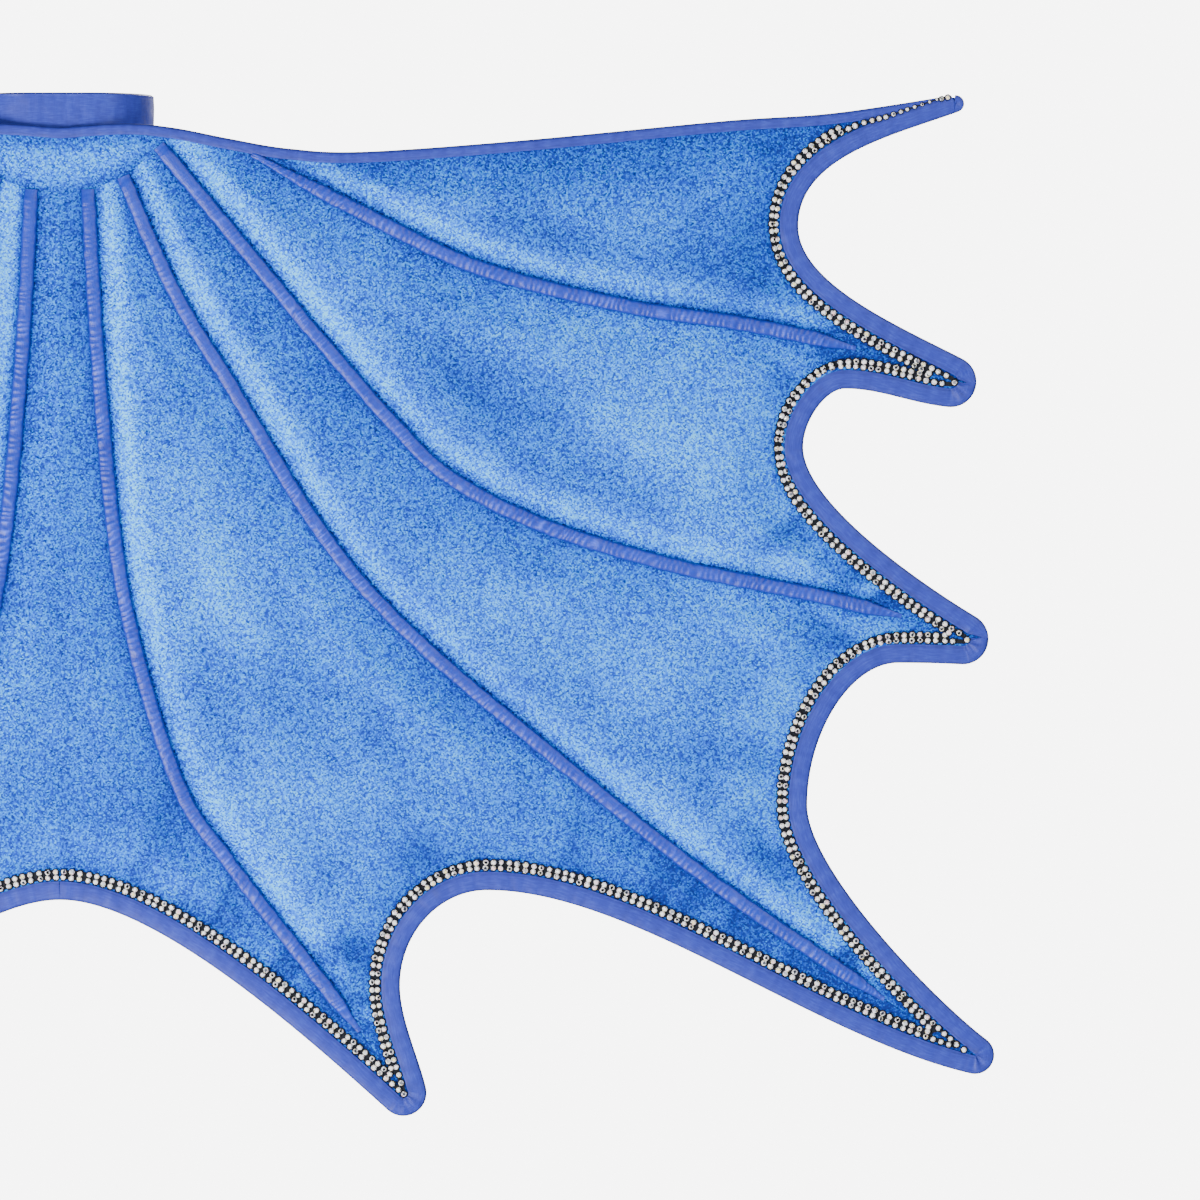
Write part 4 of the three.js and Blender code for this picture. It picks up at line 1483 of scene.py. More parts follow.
    def lining_sheet(
        self, name: str, side: Side, points: np.ndarray, quads: np.ndarray
    ) -> bpy.types.Object:
        """A sheet of lining, which lies slack against the velvet.

        Its wearer side hangs in shallow folds, towards the velvet only, and is drawn flat
        along the ribs' seams.
        """
        flat, faces = welded(points, quads)
        x, z = flat.T
        seed = 700 if side is Side.RIGHT else 740
        ribs = distance_to(flat, PATTERN.cuts)
        rim = distance_to(flat, [PATTERN.arch.line, *(e.line for e in PATTERN.edges)])
        top = distance_to(flat, [PATTERN.top])
        slack = eased(np.min([ribs - 4.5, rim - 20, top - 7, np.abs(x)], axis=0), 2, 40)
        radius, angle = np.hypot(x, z - 40), np.arctan2(x, 40 - z)
        folds = 0.5 + 0.5 * soft_noise(angle * 330, radius * 0.3, 26, seed)
        folds = folds * slack * 1.5 + 0.3 * slack * (1 + soft_noise(x, z, 10, seed + 1))
        pucker = 0.18 * np.exp(-ribs / 6) * soft_noise(x, z, 4, seed + 2)
        front = np.column_stack([x, CAPE_Y - self.lining - np.maximum(folds + pucker, 0), z])
        shell = slab(front, faces, self.lining * 0.7)
        shell.fields["seam"] = np.tile(np.exp(-((ribs / 1.2) ** 2)), 2)
        piece = make_piece(f"{name}_cloth", shell.on(side), [self.wardrobe.lining])
        node = "centre_lining" if name.endswith("centre_lining") else name
        seat(piece, side, Finish.LINING, node)
        self.declare(piece, flat, faces, ["neckband", f"{side.word}_rib_1_stay"])
        return piece

    def centre_lining(self, side: Side) -> bpy.types.Object:
        """Half of the back's lining, up to the yoke."""
        grid = self.grid(4, 4.6, 0.1, self.lining_yoke + 0.05, self.lining_seam)
        quads = grid_quads(*grid.shape[:2])
        return self.lining_sheet(f"{side.word}_centre_lining", side, grid.reshape(-1, 2), quads)

    def yoke_grid(self, step: float, margin: float) -> tuple[np.ndarray, list[np.ndarray]]:
        """The yoke's cut: lines from the neckline down to the yoke's circle with a margin."""
        half = offset(PATTERN.top, self.tuck)
        top = np.vstack([mirrored(half[::-1]), half[1:]])
        rim = PATTERN.yoke(margin)
        right, left = crossings(rim, top)[[0, -1]]
        count = int(140 / step)
        low = resized(part(rim, right, left), count)
        ends = crossings(top, rim)
        high = resized(part(top, ends[0], ends[-1])[::-1], count)
        share = np.linspace(0, 1, int(44 / step))[None, :, None]
        grid = high[:, None] * (1 - share) + low[:, None] * share
        return welded(grid.reshape(-1, 2), grid_quads(*grid.shape[:2]))

    def yoke(self) -> bpy.types.Object:
        """The yoke of velvet that the ribs run up to."""
        flat, faces = self.yoke_grid(1.6, 0.2)
        x, z = flat.T
        rim = PATTERN.yoke_radius - np.linalg.norm(flat - np.array([0, PATTERN.yoke_z]), axis=1)
        seam = np.minimum(rim, distance_to(flat, [PATTERN.top, mirrored(PATTERN.top)]) - 7)
        height = eased(seam, 0, 12) * 1.2 + soft_noise(x, z, 9, 61) * 0.2 * eased(seam, 0, 8)
        height = height - 0.35 * np.exp(-(((rim - 2.2) / 0.8) ** 2))
        y = CAPE_Y - self.face_depth - np.maximum(height, -0.3)
        shell = slab(np.column_stack([x, y, z]), faces, self.thickness)
        # Painted shade: darker near the yoke's rim and the neckline.
        shell.fields["nap"] = np.tile(np.clip(0.35 + 0.35 * eased(seam, 0, 12), 0, 1), 2)
        piece = make_piece("neck_yoke_cloth", shell, [self.wardrobe.velvet])
        seat(piece, None, Finish.VELVET, "neck_yoke")
        self.declare(piece, flat, faces, ["neckband"])
        return piece

    def yoke_lining(self) -> bpy.types.Object:
        """The lining behind the yoke."""
        flat, faces = self.yoke_grid(2.4, self.lining_yoke)
        front = np.column_stack([flat[:, 0], np.full(len(flat), CAPE_Y - self.lining), flat[:, 1]])
        shell = slab(front, faces, self.lining * 0.8)
        shell.fields["seam"] = np.zeros(len(shell.points))
        piece = make_piece("yoke_lining_cloth", shell, [self.wardrobe.lining])
        seat(piece, None, Finish.LINING, "centre_lining")
        self.declare(piece, flat, faces, ["neckband"])
        return piece


@dataclass
class Edging:
    """What runs along the outline: the folded satin bindings and the double row of stones."""

    wardrobe: Wardrobe
    width: float = 11.5
    top_width: float = 6.8
    leaf: float = 0.8
    fold: float = 1.2
    back_depth: float = -1.1
    slot_back: float = -0.3
    slot_front: float = 2.6
    front_depth: float = 3.4
    pitch: float = 5.0
    row_middle: float = 15.8
    row_apart: float = 1.72
    stone_radius: float = 1.72

    def edge_of(self, index: int) -> tuple[Line, list[Line]]:
        """The stretch of outline that a binding grips, and the lines that bound it.

        Args:
            index: which scallop, the arch's half being number 4.

        Returns:
            The line along the outline, and its limits.
        """
        if index == 4:
            limits = list(PATTERN.limits(4, 0.04))
            line = between(PATTERN.arch.line, PATTERN.arch.middle - 1, *limits)
            return line, limits
        limits = list(PATTERN.limits(index, 0.04))
        edge = PATTERN.edges[index]
        if index == 0:
            stop = crossings(edge.line, limits[1])
            return part(edge.line, 0.5, stop[stop > edge.middle].min()), limits
        return between(edge.line, edge.middle, *limits), limits

    def section(self, width: float) -> tuple[np.ndarray, np.ndarray]:
        """A binding's closed section: inset and depth, round the fold from hem to hem.

        The outer face goes from the front hem over the fold to the back hem, and the inner
        face comes back along the slot that holds the cloth.
        """
        mid, half = (self.front_depth + self.back_depth) / 2, (self.front_depth - self.back_depth) / 2
        turn = np.linspace(math.pi / 2, -math.pi / 2, 9)
        front = np.linspace(width, 1.6, 9)
        hem = np.array([[width - 0.1, self.slot_front + 0.05], [width + 0.12, self.slot_front + 0.4]])
        outside = np.column_stack([front, np.full(9, self.front_depth)])
        outside[0, 1] -= 0.1
        bend = np.column_stack([1.6 - 1.6 * np.cos(turn), mid + half * np.sin(turn)])[1:-1]
        inside = np.column_stack([front[::-1], np.full(9, self.back_depth)])
        slot = np.array([[width - 0.1, self.slot_back], [1.3, self.slot_back], [1.3, self.slot_front]])
        loop = np.vstack([hem, outside, bend, inside, slot])
        return loop[:, 0], loop[:, 1]

    def strip(self, line: Line, limits: Sequence[Line], width: float, seed: int) -> Shell:
        """A binding along a line: its section carried along, narrower where a limit is near.

        The front leaf puckers a little: noise along the strip, stronger where it bends.

        Args:
            line: the outline, with the cape on its right.
            limits: lines that the binding stays inside.
            width: how wide the binding is.
            seed: picks the puckers.

        Returns:
            The shell.
        """
        path = resampled(line, 1.5)
        inward = rightwards(path)
        reach = ray_reach(path, inward, limits) - 0.02
        turning = cross2(tangents(path), np.gradient(tangents(path), axis=0)) / 1.5
        reach = np.minimum(reach, np.where(turning < -0.12, 0.96 / np.maximum(-turning, 1e-3), width))
        room = np.clip(np.minimum(width, reach), 0.8, width)
        inset, depth = self.section(width)
        share = (inset / width)[None]
        along = lengths(path)
        bend = np.linalg.norm(np.gradient(inward, axis=0), axis=1) / 1.5
        strength = 0.16 + np.clip(bend * 9, 0, 0.55)
        puckers = soft_noise(along[:, None] * 1.0, share * 7, 4.5, seed)
        puckers = puckers + 0.5 * soft_noise(along[:, None], share * 5, 2.2, seed + 1)
        on_face = np.clip(share * 3, 0, 1) * np.clip(3.4 - share * 3, 0.3, 1)
        on_face = (depth > self.slot_front + 0.5)[None] * on_face
        crown = 0.35 * np.sin(np.clip(share, 0, 1) * math.pi) * on_face
        lift = crown + puckers * strength[:, None] * on_face
        back = (depth < self.slot_back - 0.5)[None] * 0.12 * puckers
        tucked = share * room[:, None]
        flat = path[:, None] + inward[:, None] * tucked[..., None]
        y = CAPE_Y - (depth[None] + lift + back)
        rings = np.stack([flat[..., 0], y, flat[..., 1]], axis=2)
        cloth = np.stack(np.broadcast_arrays(along[:, None], share * width), axis=2) * MM
        # Painted shade for the satin: darker along the fold at the outline and in a thin line at the front
        # hem.
        hem = np.exp(-((((1 - share) * width - 1.1) / 0.3) ** 2)) * (depth > self.slot_front)
        fold = np.exp(-(((share * width - 0.2) / 0.9) ** 2)) + 0.7 * hem
        fold = np.broadcast_to(fold, y.shape)
        return swept(rings, cloth, {"fold": fold})

    def binding(self, index: int, side: Side) -> bpy.types.Object:
        """The binding of a scallop, the arch's half being number 4."""
        line, limits = self.edge_of(index)
        shell = self.strip(line, limits, self.width, 40 + index * 3 + (side is Side.LEFT) * 50)
        name = f"{side.word}_centre_binding" if index == 4 else f"{side.word}_scallop_{index + 1}_binding"
        node = "centre_binding" if index == 4 else name
        piece = make_piece(f"{name}_strip", shell.on(side), [self.wardrobe.satin])
        return seat(piece, side, Finish.SATIN, node)

    def top_binding(self, side: Side) -> bpy.types.Object:
        """The binding of the top edge, from the yoke to the first scallop's binding."""
        clear = PATTERN.yoke(0.05)
        stop = offset(self.edge_of(0)[0], self.width + 0.05)
        line = up_to(past(PATTERN.top, clear), stop[len(PATTERN.arc("A")) :])
        line = part(line, 0, len(line) - 3)
        shell = self.strip(line, [stop], self.top_width, 90 + (side is Side.LEFT) * 50)
        piece = make_piece(f"{side.word}_top_binding_strip", shell.on(side), [self.wardrobe.satin])
        return seat(piece, side, Finish.SATIN, f"{side.word}_top_binding")

    def neckline(self) -> bpy.types.Object:
        """The binding of the neckline, across the yoke."""
        whole = np.vstack([mirrored(PATTERN.top[::-1]), PATTERN.top[1:]])
        ends = crossings(whole, PATTERN.yoke(0))
        shell = self.strip(part(whole, ends[0], ends[-1]), [], self.top_width, 97)
        piece = make_piece("neckline_binding_strip", shell, [self.wardrobe.satin])
        return seat(piece, None, Finish.SATIN, "neckline_binding")

    def stone(self) -> Shell:
        """One cut stone: a flat top with eight corners, a ring of slanting facets below it, a
        second ring turned by half a corner, and straight sides."""
        turn = np.arange(8) * math.pi / 4
        rings = []
        for radius, height, twist in ((0.55, 1.62, 0), (0.84, 1.22, 0.5), (1.0, 0.74, 0), (0.95, 0.0, 0)):
            angle = turn + twist * math.pi / 4
            ring = [np.cos(angle) * radius, np.sin(angle) * radius, np.full(8, height / self.stone_radius)]
            rings.append(np.column_stack(ring) * self.stone_radius)
        i, j = np.arange(8), (np.arange(8) + 1) % 8
        table, floor = i[None], (i[::-1] + 24)[None]
        upper = np.concatenate([np.stack([i, i + 8, j], 1), np.stack([j, i + 8, j + 8], 1)])
        lower = np.concatenate([np.stack([i + 8, i + 16, j + 16], 1), np.stack([i + 8, j + 16, j + 8], 1)])
        sides = np.stack([i + 16, i + 24, j + 24, j + 16], 1)
        points = np.concatenate(rings)
        groups = [(table, 0), (upper, 0), (lower, 0), (sides, 0), (floor, 0)]
        return Shell(points, groups, points[:, :2] * MM).outwards()

    def cup(self) -> Shell:
        """The cup under a stone: a low ring with a lobed outline and a hollow for the stone."""
        turn = np.arange(12) * math.pi / 6
        lobed, plain = 1 + 0.07 * np.cos(turn * 6), np.ones(12)
        rows = []
        outside = (2.05, 0.2, lobed), (2.42, 0.45, lobed), (2.2, 0.85, lobed)
        for radius, height, shape in (*outside, (1.78, 0.8, plain), (1.7, 0.4, plain)):
            ring = [np.cos(turn) * radius * shape, np.sin(turn) * radius * shape, height * plain]
            rows.append(np.column_stack(ring))
        quads = grid_quads(5, 12, ring=True)
        ring = np.arange(12)
        points = np.concatenate(rows)
        groups = [(quads, 1), (ring[::-1][None], 1), ((ring + 48)[None], 1)]
        return Shell(points, groups, points[:, :2] * MM).outwards()

    def spread(self, one: Shell, places: np.ndarray, turns: np.ndarray) -> Shell:
        """Copies of a small shell, each turned by its own matrix and moved to its place.

        Args:
            one: the shell, with Z as its own height.
            places: where each copy goes.
            turns: one 3 by 3 matrix for each copy, whose columns are its X, Y and Z.

        Returns:
            All the copies as one shell.
        """
        size = len(one.points)
        points = np.einsum("nij,pj->npi", turns, one.points) + places[:, None]
        starts = np.arange(len(places))[:, None, None] * size
        groups = [((faces[None] + starts).reshape(-1, faces.shape[1]), worn) for faces, worn in one.groups]
        cloth = (one.cloth[None] + places[:, None, [0, 2]] * MM).reshape(-1, 2)
        return Shell(points.reshape(-1, 3), groups, cloth)

    def trim_line(self, index: int) -> tuple[Line, np.ndarray, np.ndarray, np.ndarray]:
        """The outline along which a trim runs.

        Returns:
            Its points, their inward normals, its bend (over 0 in a hollow, in turns of one
            radian to the millimetre), and the trim's own length up to each point.
        """
        arch = PATTERN.arch
        line = arch.line[: arch.middle + 1] if index == 4 else PATTERN.edges[index].line
        path = resampled(line, 0.6)
        inward = rightwards(path)
        smooth = [np.convolve(np.pad(inward[:, k], 6, "edge"), np.ones(13) / 13, "valid") for k in (0, 1)]
        inward = np.column_stack(smooth)
        inward = inward / np.linalg.norm(inward, axis=1, keepdims=True)
        turning = cross2(tangents(path), np.gradient(tangents(path), axis=0)) / 0.6
        turning = np.convolve(np.pad(turning, 12, "edge"), np.ones(25) / 25, "valid")
        steps = 0.6 * np.maximum(1 + turning * self.row_middle, 0.0)
        return path, inward, turning, np.cumsum(steps)

    def has_room(self, index: int, spots: Line, inset: np.ndarray) -> np.ndarray:
        """Whether a stone fits at each spot, clear of the next trim and of the top binding."""
        own = PATTERN.outline_of(index)[0]
        fits = distance_to(spots, PATTERN.neighbours(index)) >= inset + 1.15
        fits &= distance_to(spots, [own]) >= inset - 0.4
        if index == 0:
            fits &= distance_to(spots, [PATTERN.top]) >= self.top_width + 1.9
        return fits

    def end_spot(self, index: int) -> Line:
        """Where the last stone between two trims sits: as far into the tip as it fits, on
        the line halfway between the two edges. The fifth scallop and the first tip have none.
        """
        if index == 4:
            return np.empty((0, 2))
        scallop = PATTERN.scallops[index]
        leave = PATTERN.arch_leave if index == 3 else PATTERN.scallops[index + 1].leave
        tip = PATTERN.tips[scallop.finish]
        back, half = (scallop.arrive + 180 + leave) / 2, math.radians(leave - scallop.arrive - 180) / 2
        spare = self.width + 2.1 - tip.radius
        away = spare / math.sin(half) if spare > 0 else spare
        return (np.array([tip.x, tip.z]) + heading(back) * away)[None]

    def frames(
        self, inward: np.ndarray, lean: np.ndarray, rise: np.ndarray, rng: np.random.Generator
    ) -> np.ndarray:
        """Three axes for each stone: along the trim, across it, and up out of the cape,
        heeled over towards the edge and a little unsteady."""
        up = np.column_stack([-inward[:, 0] * rise, -lean, -inward[:, 1] * rise])
        up = up + rng.normal(0, 0.09, up.shape)
        up = up / np.linalg.norm(up, axis=1, keepdims=True)
        way = np.column_stack([-inward[:, 1], np.zeros(len(inward)), inward[:, 0]])
        way = way - up * (way * up).sum(1, keepdims=True)
        way = way / np.linalg.norm(way, axis=1, keepdims=True)
        return np.stack([way, np.cross(up, way), up], axis=2)

    def set_stones(
        self, places: np.ndarray, axes: np.ndarray, scale: np.ndarray, rng: np.random.Generator
    ) -> list[Shell]:
        """Cups at places and a stone in each, turned about its own height at random.

        Args:
            places: where the cups stand.
            axes: each one's three axes.
            scale: each one's size, 1 being full.
            rng: turns the stones.

        Returns:
            The shell of the cups and the shell of the stones.
        """
        spin = rng.uniform(0, math.pi, len(places))
        turn = np.zeros((len(places), 3, 3))
        turn[:, 0, 0] = turn[:, 1, 1] = np.cos(spin)
        turn[:, 1, 0], turn[:, 0, 1], turn[:, 2, 2] = np.sin(spin), -np.sin(spin), 1
        sized = scale[:, None, None]
        up = axes[:, :, 2] * 0.42 * scale[:, None]
        return [
            self.spread(self.cup(), places, axes * sized),
            self.spread(self.stone(), places + up, axes @ turn * sized),
        ]

    def stone_trim(self, index: int, side: Side) -> bpy.types.Object:
        """The double row of stones along a scallop, on its dark net.

        The trim lies flat where the edge is straight, and heels over where it bends.
        """
        path, inward, turning, along = self.trim_line(index)
        heel = np.clip((turning - 0.012) / 0.022, 0, 1) * math.radians(50)
        heel = np.convolve(np.pad(heel, 15, "edge"), np.ones(31) / 31, "valid")
        lean, rise = np.cos(heel), np.sin(heel)
        rng = np.random.default_rng(900 + index + (side is Side.LEFT) * 10)
        last = along[-1] - self.pitch / 2
        wanted = last - np.arange(int(last / self.pitch))[::-1] * self.pitch
        picked = np.clip(np.searchsorted(along, wanted), 0, len(along) - 1)
        end, shells, room = self.end_spot(index), [], []
        for row in (-1, 1):
            inset = self.row_middle + row * self.row_apart * lean
            spots = path + inward * inset[:, None]
            room.append(self.has_room(index, spots, inset))
            free = np.linalg.norm(spots[:, None] - end[None], axis=2).min(1, initial=99.0) > 3.3
            fits = picked[(room[-1] & free)[picked]]
            out = rise[fits] * self.row_apart * (row + 1) * 0.5 + rng.normal(0, 0.05, len(fits))
            places = np.column_stack([spots[fits, 0], CAPE_Y - 2.75 - out, spots[fits, 1]])
            axes = self.frames(inward[fits], lean[fits], rise[fits], rng)
            shells += self.set_stones(places, axes, rng.uniform(0.93, 1.06, len(fits)), rng)
        if len(end):
            axes = self.frames(inward[-1:], np.ones(1), np.zeros(1), rng)
            place = np.array([[end[0, 0], CAPE_Y - 3.3, end[0, 1]]])
            shells += self.set_stones(place, axes, np.ones(1), rng)
        shells.append(self.net(path, inward, room, lean, rise))
        if index == 0:
            shells += self.tail(path, inward, room[0], rng)
        name = f"{side.word}_{'centre' if index == 4 else f'scallop_{index + 1}'}_stone_trim"
        node = "centre_stone_trim" if index == 4 else name
        worn = [self.wardrobe.stone, self.wardrobe.net]
        piece = make_piece(f"{name}_row", joined(shells).on(side), worn, crease=12)
        # A random value for each face, which picks the stones' painted reflections.
        facets = piece.data.attributes.new("facet", "FLOAT", "FACE")
        facets.data.foreach_set("value", rng.random(len(piece.data.polygons)).astype(np.float32))
        return seat(piece, side, Finish.STONES, node)

    def net(
        self, path: Line, inward: np.ndarray, room: list[np.ndarray], lean: np.ndarray, rise: np.ndarray
    ) -> Shell:
        """The thin dark strip that the cups sit on: as wide as both rows, or as one."""
        held = np.nonzero(room[0])[0][::3]
        path, inward, lean, rise = path[held], inward[held], lean[held], rise[held]
        low = self.row_middle - 3.0 * lean
        high = np.where(room[1][held], self.row_middle + 3.0 * lean, self.row_middle - 0.2)
        lift = rise * self.row_apart
        inset = np.stack([low, high, high, low], axis=1)
        depth = np.stack([0 * lift + 0.1, lift + 0.1, lift - 0.25, 0 * lift - 0.25], axis=1)
        flat = path[:, None] + inward[:, None] * inset[..., None]
        rings = np.stack([flat[..., 0], CAPE_Y - 2.75 - depth, flat[..., 1]], axis=2)
        along = np.broadcast_to(lengths(path)[:, None], inset.shape)
        shell = swept(rings, np.stack([along, inset], axis=2) * MM)
        shell.groups = [(faces, 1) for faces, _ in shell.groups]
        return shell

    def tail(
        self, path: Line, inward: np.ndarray, room: np.ndarray, rng: np.random.Generator
    ) -> list[Shell]:
        """The trim's end at the first tip: smaller and smaller single stones between the two
        bindings, then two that are turned over the top edge."""
        start = np.nonzero(room)[0][0]
        first = len(resampled(PATTERN.arc("A"), 0.6)) - 1
        path, inward = path[first:start][::-1], inward[first:start][::-1]
        across = ray_reach(path, inward, [PATTERN.top])
        held = across > self.width + 0.3
        path, inward, across = path[held], inward[held], across[held]
        middle = np.maximum(self.width + 0.1, (self.width + across - self.top_width) / 2)
        spots = path + inward * middle[:, None]
        along = lengths(spots)
        picked = np.searchsorted(along, np.arange(2.4, along[-1] - 3, 4.7))
        scale = 0.42 + 0.48 * np.clip((across[picked] - self.width) / 8, 0, 1)
        flat = np.ones(len(picked)), np.zeros(len(picked))
        places = np.column_stack([spots[picked, 0], np.full(len(picked), CAPE_Y - 3.75), spots[picked, 1]])
        shells = self.set_stones(places, self.frames(inward[picked], *flat, rng), scale, rng)
        tip, way = spots[-1], (spots[-1] - spots[-8]) / np.linalg.norm(spots[-1] - spots[-8])
        ends = tip + np.array([[-2.4, -0.6], [1.6, -1.0]]) @ np.stack([way, [-way[1], way[0]]])
        places = np.column_stack([ends[:, 0], np.full(2, CAPE_Y - 3.9), ends[:, 1]])
        axes = self.frames(inward[-2:], np.ones(2), np.zeros(2), rng)
        shells += self.set_stones(places, axes, np.array([0.8, 0.85]), rng)
        inset = middle[::3, None] + np.array([-0.45, 0.45, 0.45, -0.45])[None]
        flat = path[::3, None] + inward[::3, None] * inset[..., None]
        depth = np.broadcast_to(np.array([4.0, 4.0, 3.6, 3.6])[None], inset.shape)
        cord = swept(np.stack([flat[..., 0], CAPE_Y - depth, flat[..., 1]], axis=2), flat * MM)
        cord.groups = [(faces, 1) for faces, _ in cord.groups]
        return [*shells, cord]


@dataclass
class Rib:
    """A ruched casing over a flat stay, along one of the rib lines."""

    wardrobe: Wardrobe
    width: float = 9.0
    height: float = 3.0
    foot: float = 2.45
    channel_width: float = 6.2
    channel_top: float = 4.8
    stay_width: float = 5.6
    stay_top: float = 4.5
    stay_thickness: float = 1.6
    setback: float = 5.0
    trim_inside: float = 19.8

    def line(self, index: int) -> Line:
        """A rib's middle line, from the yoke or the top binding to where the trims close in."""
        whole = PATTERN.cuts[index]
        start = offset(PATTERN.top, 7.1) if index == 0 else PATTERN.yoke(0.35 if index == 3 else 0.95)
        cased = past(whole, start)
        below = PATTERN.arch.line if index == 3 else PATTERN.edges[index + 1].line
        gap = distance_to(cased, [PATTERN.edges[index].line, below])
        near = np.nonzero(gap < self.trim_inside + self.width / 2 + 0.5)[0]
        return cased[: near[near > len(cased) // 2][0]]

    def casing(self, index: int, side: Side) -> bpy.types.Object:
        """The casing: an arched section with a channel for the stay, gathered along its way.

        Its outer face is half of a flattened ellipse. Gathers are ridges across the rib at
        uneven spacing and slant, and the casing is narrower and lower at its ends.
        """
        path = resampled(self.line(index), 0.62)
        along = lengths(path)
        seed = 300 + index * 7 + (side is Side.LEFT) * 40
        left = along[-1] - along
        fade = eased(left, 0, 26)
        rise_in = eased(along, 0, 60) if index == 0 else eased(along, 0, 8)
        start = 0.4 + 0.6 * rise_in if index == 0 else 0.9 + 0.1 * rise_in
        wide = self.width / 2 * (0.34 + 0.66 * fade) * start
        tall = self.height * (0.10 + 0.90 * fade) * (0.5 + 0.5 * rise_in)
        angle = np.linspace(0, math.pi, 19)[None]
        across = np.cos(angle)
        crown = np.abs(np.sin(angle)) ** 0.62
        slant = along[:, None] + across * 1.6 * soft_noise(along, along * 0, 17, seed)[:, None]
        slant = slant + 1.1 * soft_noise(slant, across * 4 + 0 * slant, 6.5, seed + 1)
        gather = 1 - np.abs(np.sin(slant / 1.25 + 2.2 * soft_noise(along, along * 0, 9, seed + 2)[:, None]))
        fine = soft_noise(slant, across * 5 + 0 * slant, 2.7, seed + 3)
        gather = 0.6 * gather + 0.55 * (0.5 + 0.5 * fine)
        calm = 0.45 + 0.55 * (0.5 + 0.5 * soft_noise(along, along * 0, 34, seed + 4))[:, None]
        if index:
            calm = calm * (0.35 + 0.65 * eased(along, 25, 90))[:, None]
        lift = (gather - 0.45) * 0.95 * calm * crown
        depth_out = self.foot + (tall[:, None] * crown) + lift * (0.4 + 0.6 * fade[:, None])
        sway = 0.35 * soft_noise(along[:, None], across * 3 + 0 * along[:, None], 5, seed + 5)
        offset_out = wide[:, None] * across * (1 + 0.05 * gather) + sway * np.abs(across)
        half = np.maximum(np.minimum(self.channel_width / 2, wide - 0.7), 0.2)[:, None]
        roof = np.maximum(np.minimum(self.channel_top, self.foot + tall - 0.75), self.foot + 0.03)[:, None]
        inner = np.array([-1.0, -1.0, 0.0, 1.0, 1.0])[None]
        floor = np.array([0.0, 1.0, 1.0, 1.0, 0.0])[None]
        offset_in = half * inner
        depth_in = self.foot + (roof - self.foot) * floor
        offsets = np.concatenate([offset_out, offset_in], axis=1)
        depths = np.concatenate([np.maximum(depth_out, self.foot + 0.02), depth_in], axis=1)
        normal = -rightwards(path)
        flat = path[:, None] + normal[:, None] * offsets[..., None]
        rings = np.stack([flat[..., 0], CAPE_Y - depths, flat[..., 1]], axis=2)
        cloth = np.stack([np.broadcast_to(along[:, None], offsets.shape), offsets], axis=2) * MM
        # Painted highlight and shade for the colour: light on the crown, following the gathers' ridges
        # where they are deep and evenly where the casing lies smooth, varied in patches along the rib, and
        # dark at the feet and in the channel.
        patch = 0.5 + 0.5 * soft_noise(along[:, None], across * 2 + 0 * along[:, None], 12, seed + 6)
        painted_casing_light = (0.06 + 0.85 * gather * calm + 0.42 * (1 - calm)) * crown**3 * (0.62 + 0.5 * patch)
        ridge = np.clip(np.concatenate([painted_casing_light, 0 * depth_in], axis=1), 0, 1)
        shell = swept(rings, cloth, {"rise": ridge})
        name = f"{side.word}_rib_{index + 1}_casing"
        piece = make_piece(f"{name}_cloth", shell.on(side), [self.wardrobe.ruched], crease=70)
        return seat(piece, side, Finish.RIB_SATIN, name)

    def stay(self, index: int, side: Side) -> bpy.types.Object:
        """The flat stay in the casing: a thin bar with eased edges and rounded ends."""
        line = self.line(index)
        along = lengths(line)
        extra = 52 if index == 0 else 0
        inner = (along > self.setback + extra) & (along < along[-1] - self.setback - 26)
        path = resampled(line[inner], 2.0)
        along = lengths(path)
        end = np.minimum(along, along[-1] - along)
        wide = self.stay_width / 2 * np.sqrt(np.clip(1 - (1 - np.clip(end / 2.8, 0.12, 1)) ** 2, 0, 1))
        angle = np.linspace(0, 2 * math.pi, 16, endpoint=False)
        flattened = [np.sign(f(angle)) * np.abs(f(angle)) ** 0.5 for f in (np.cos, np.sin)]
        offsets = wide[:, None] * flattened[0][None]
        middle = self.stay_top - self.stay_thickness / 2
        depths = np.broadcast_to(middle + self.stay_thickness / 2 * flattened[1][None], offsets.shape)
        flat = path[:, None] - rightwards(path)[:, None] * offsets[..., None]
        rings = np.stack([flat[..., 0], CAPE_Y - depths, flat[..., 1]], axis=2)
        cloth = np.stack([np.broadcast_to(along[:, None], offsets.shape), offsets], axis=2) * MM
        name = f"{side.word}_rib_{index + 1}_stay"
        piece = make_piece(f"{name}_bar", swept(rings, cloth).on(side), [self.wardrobe.stay])
        return seat(piece, side, Finish.STAY, name)


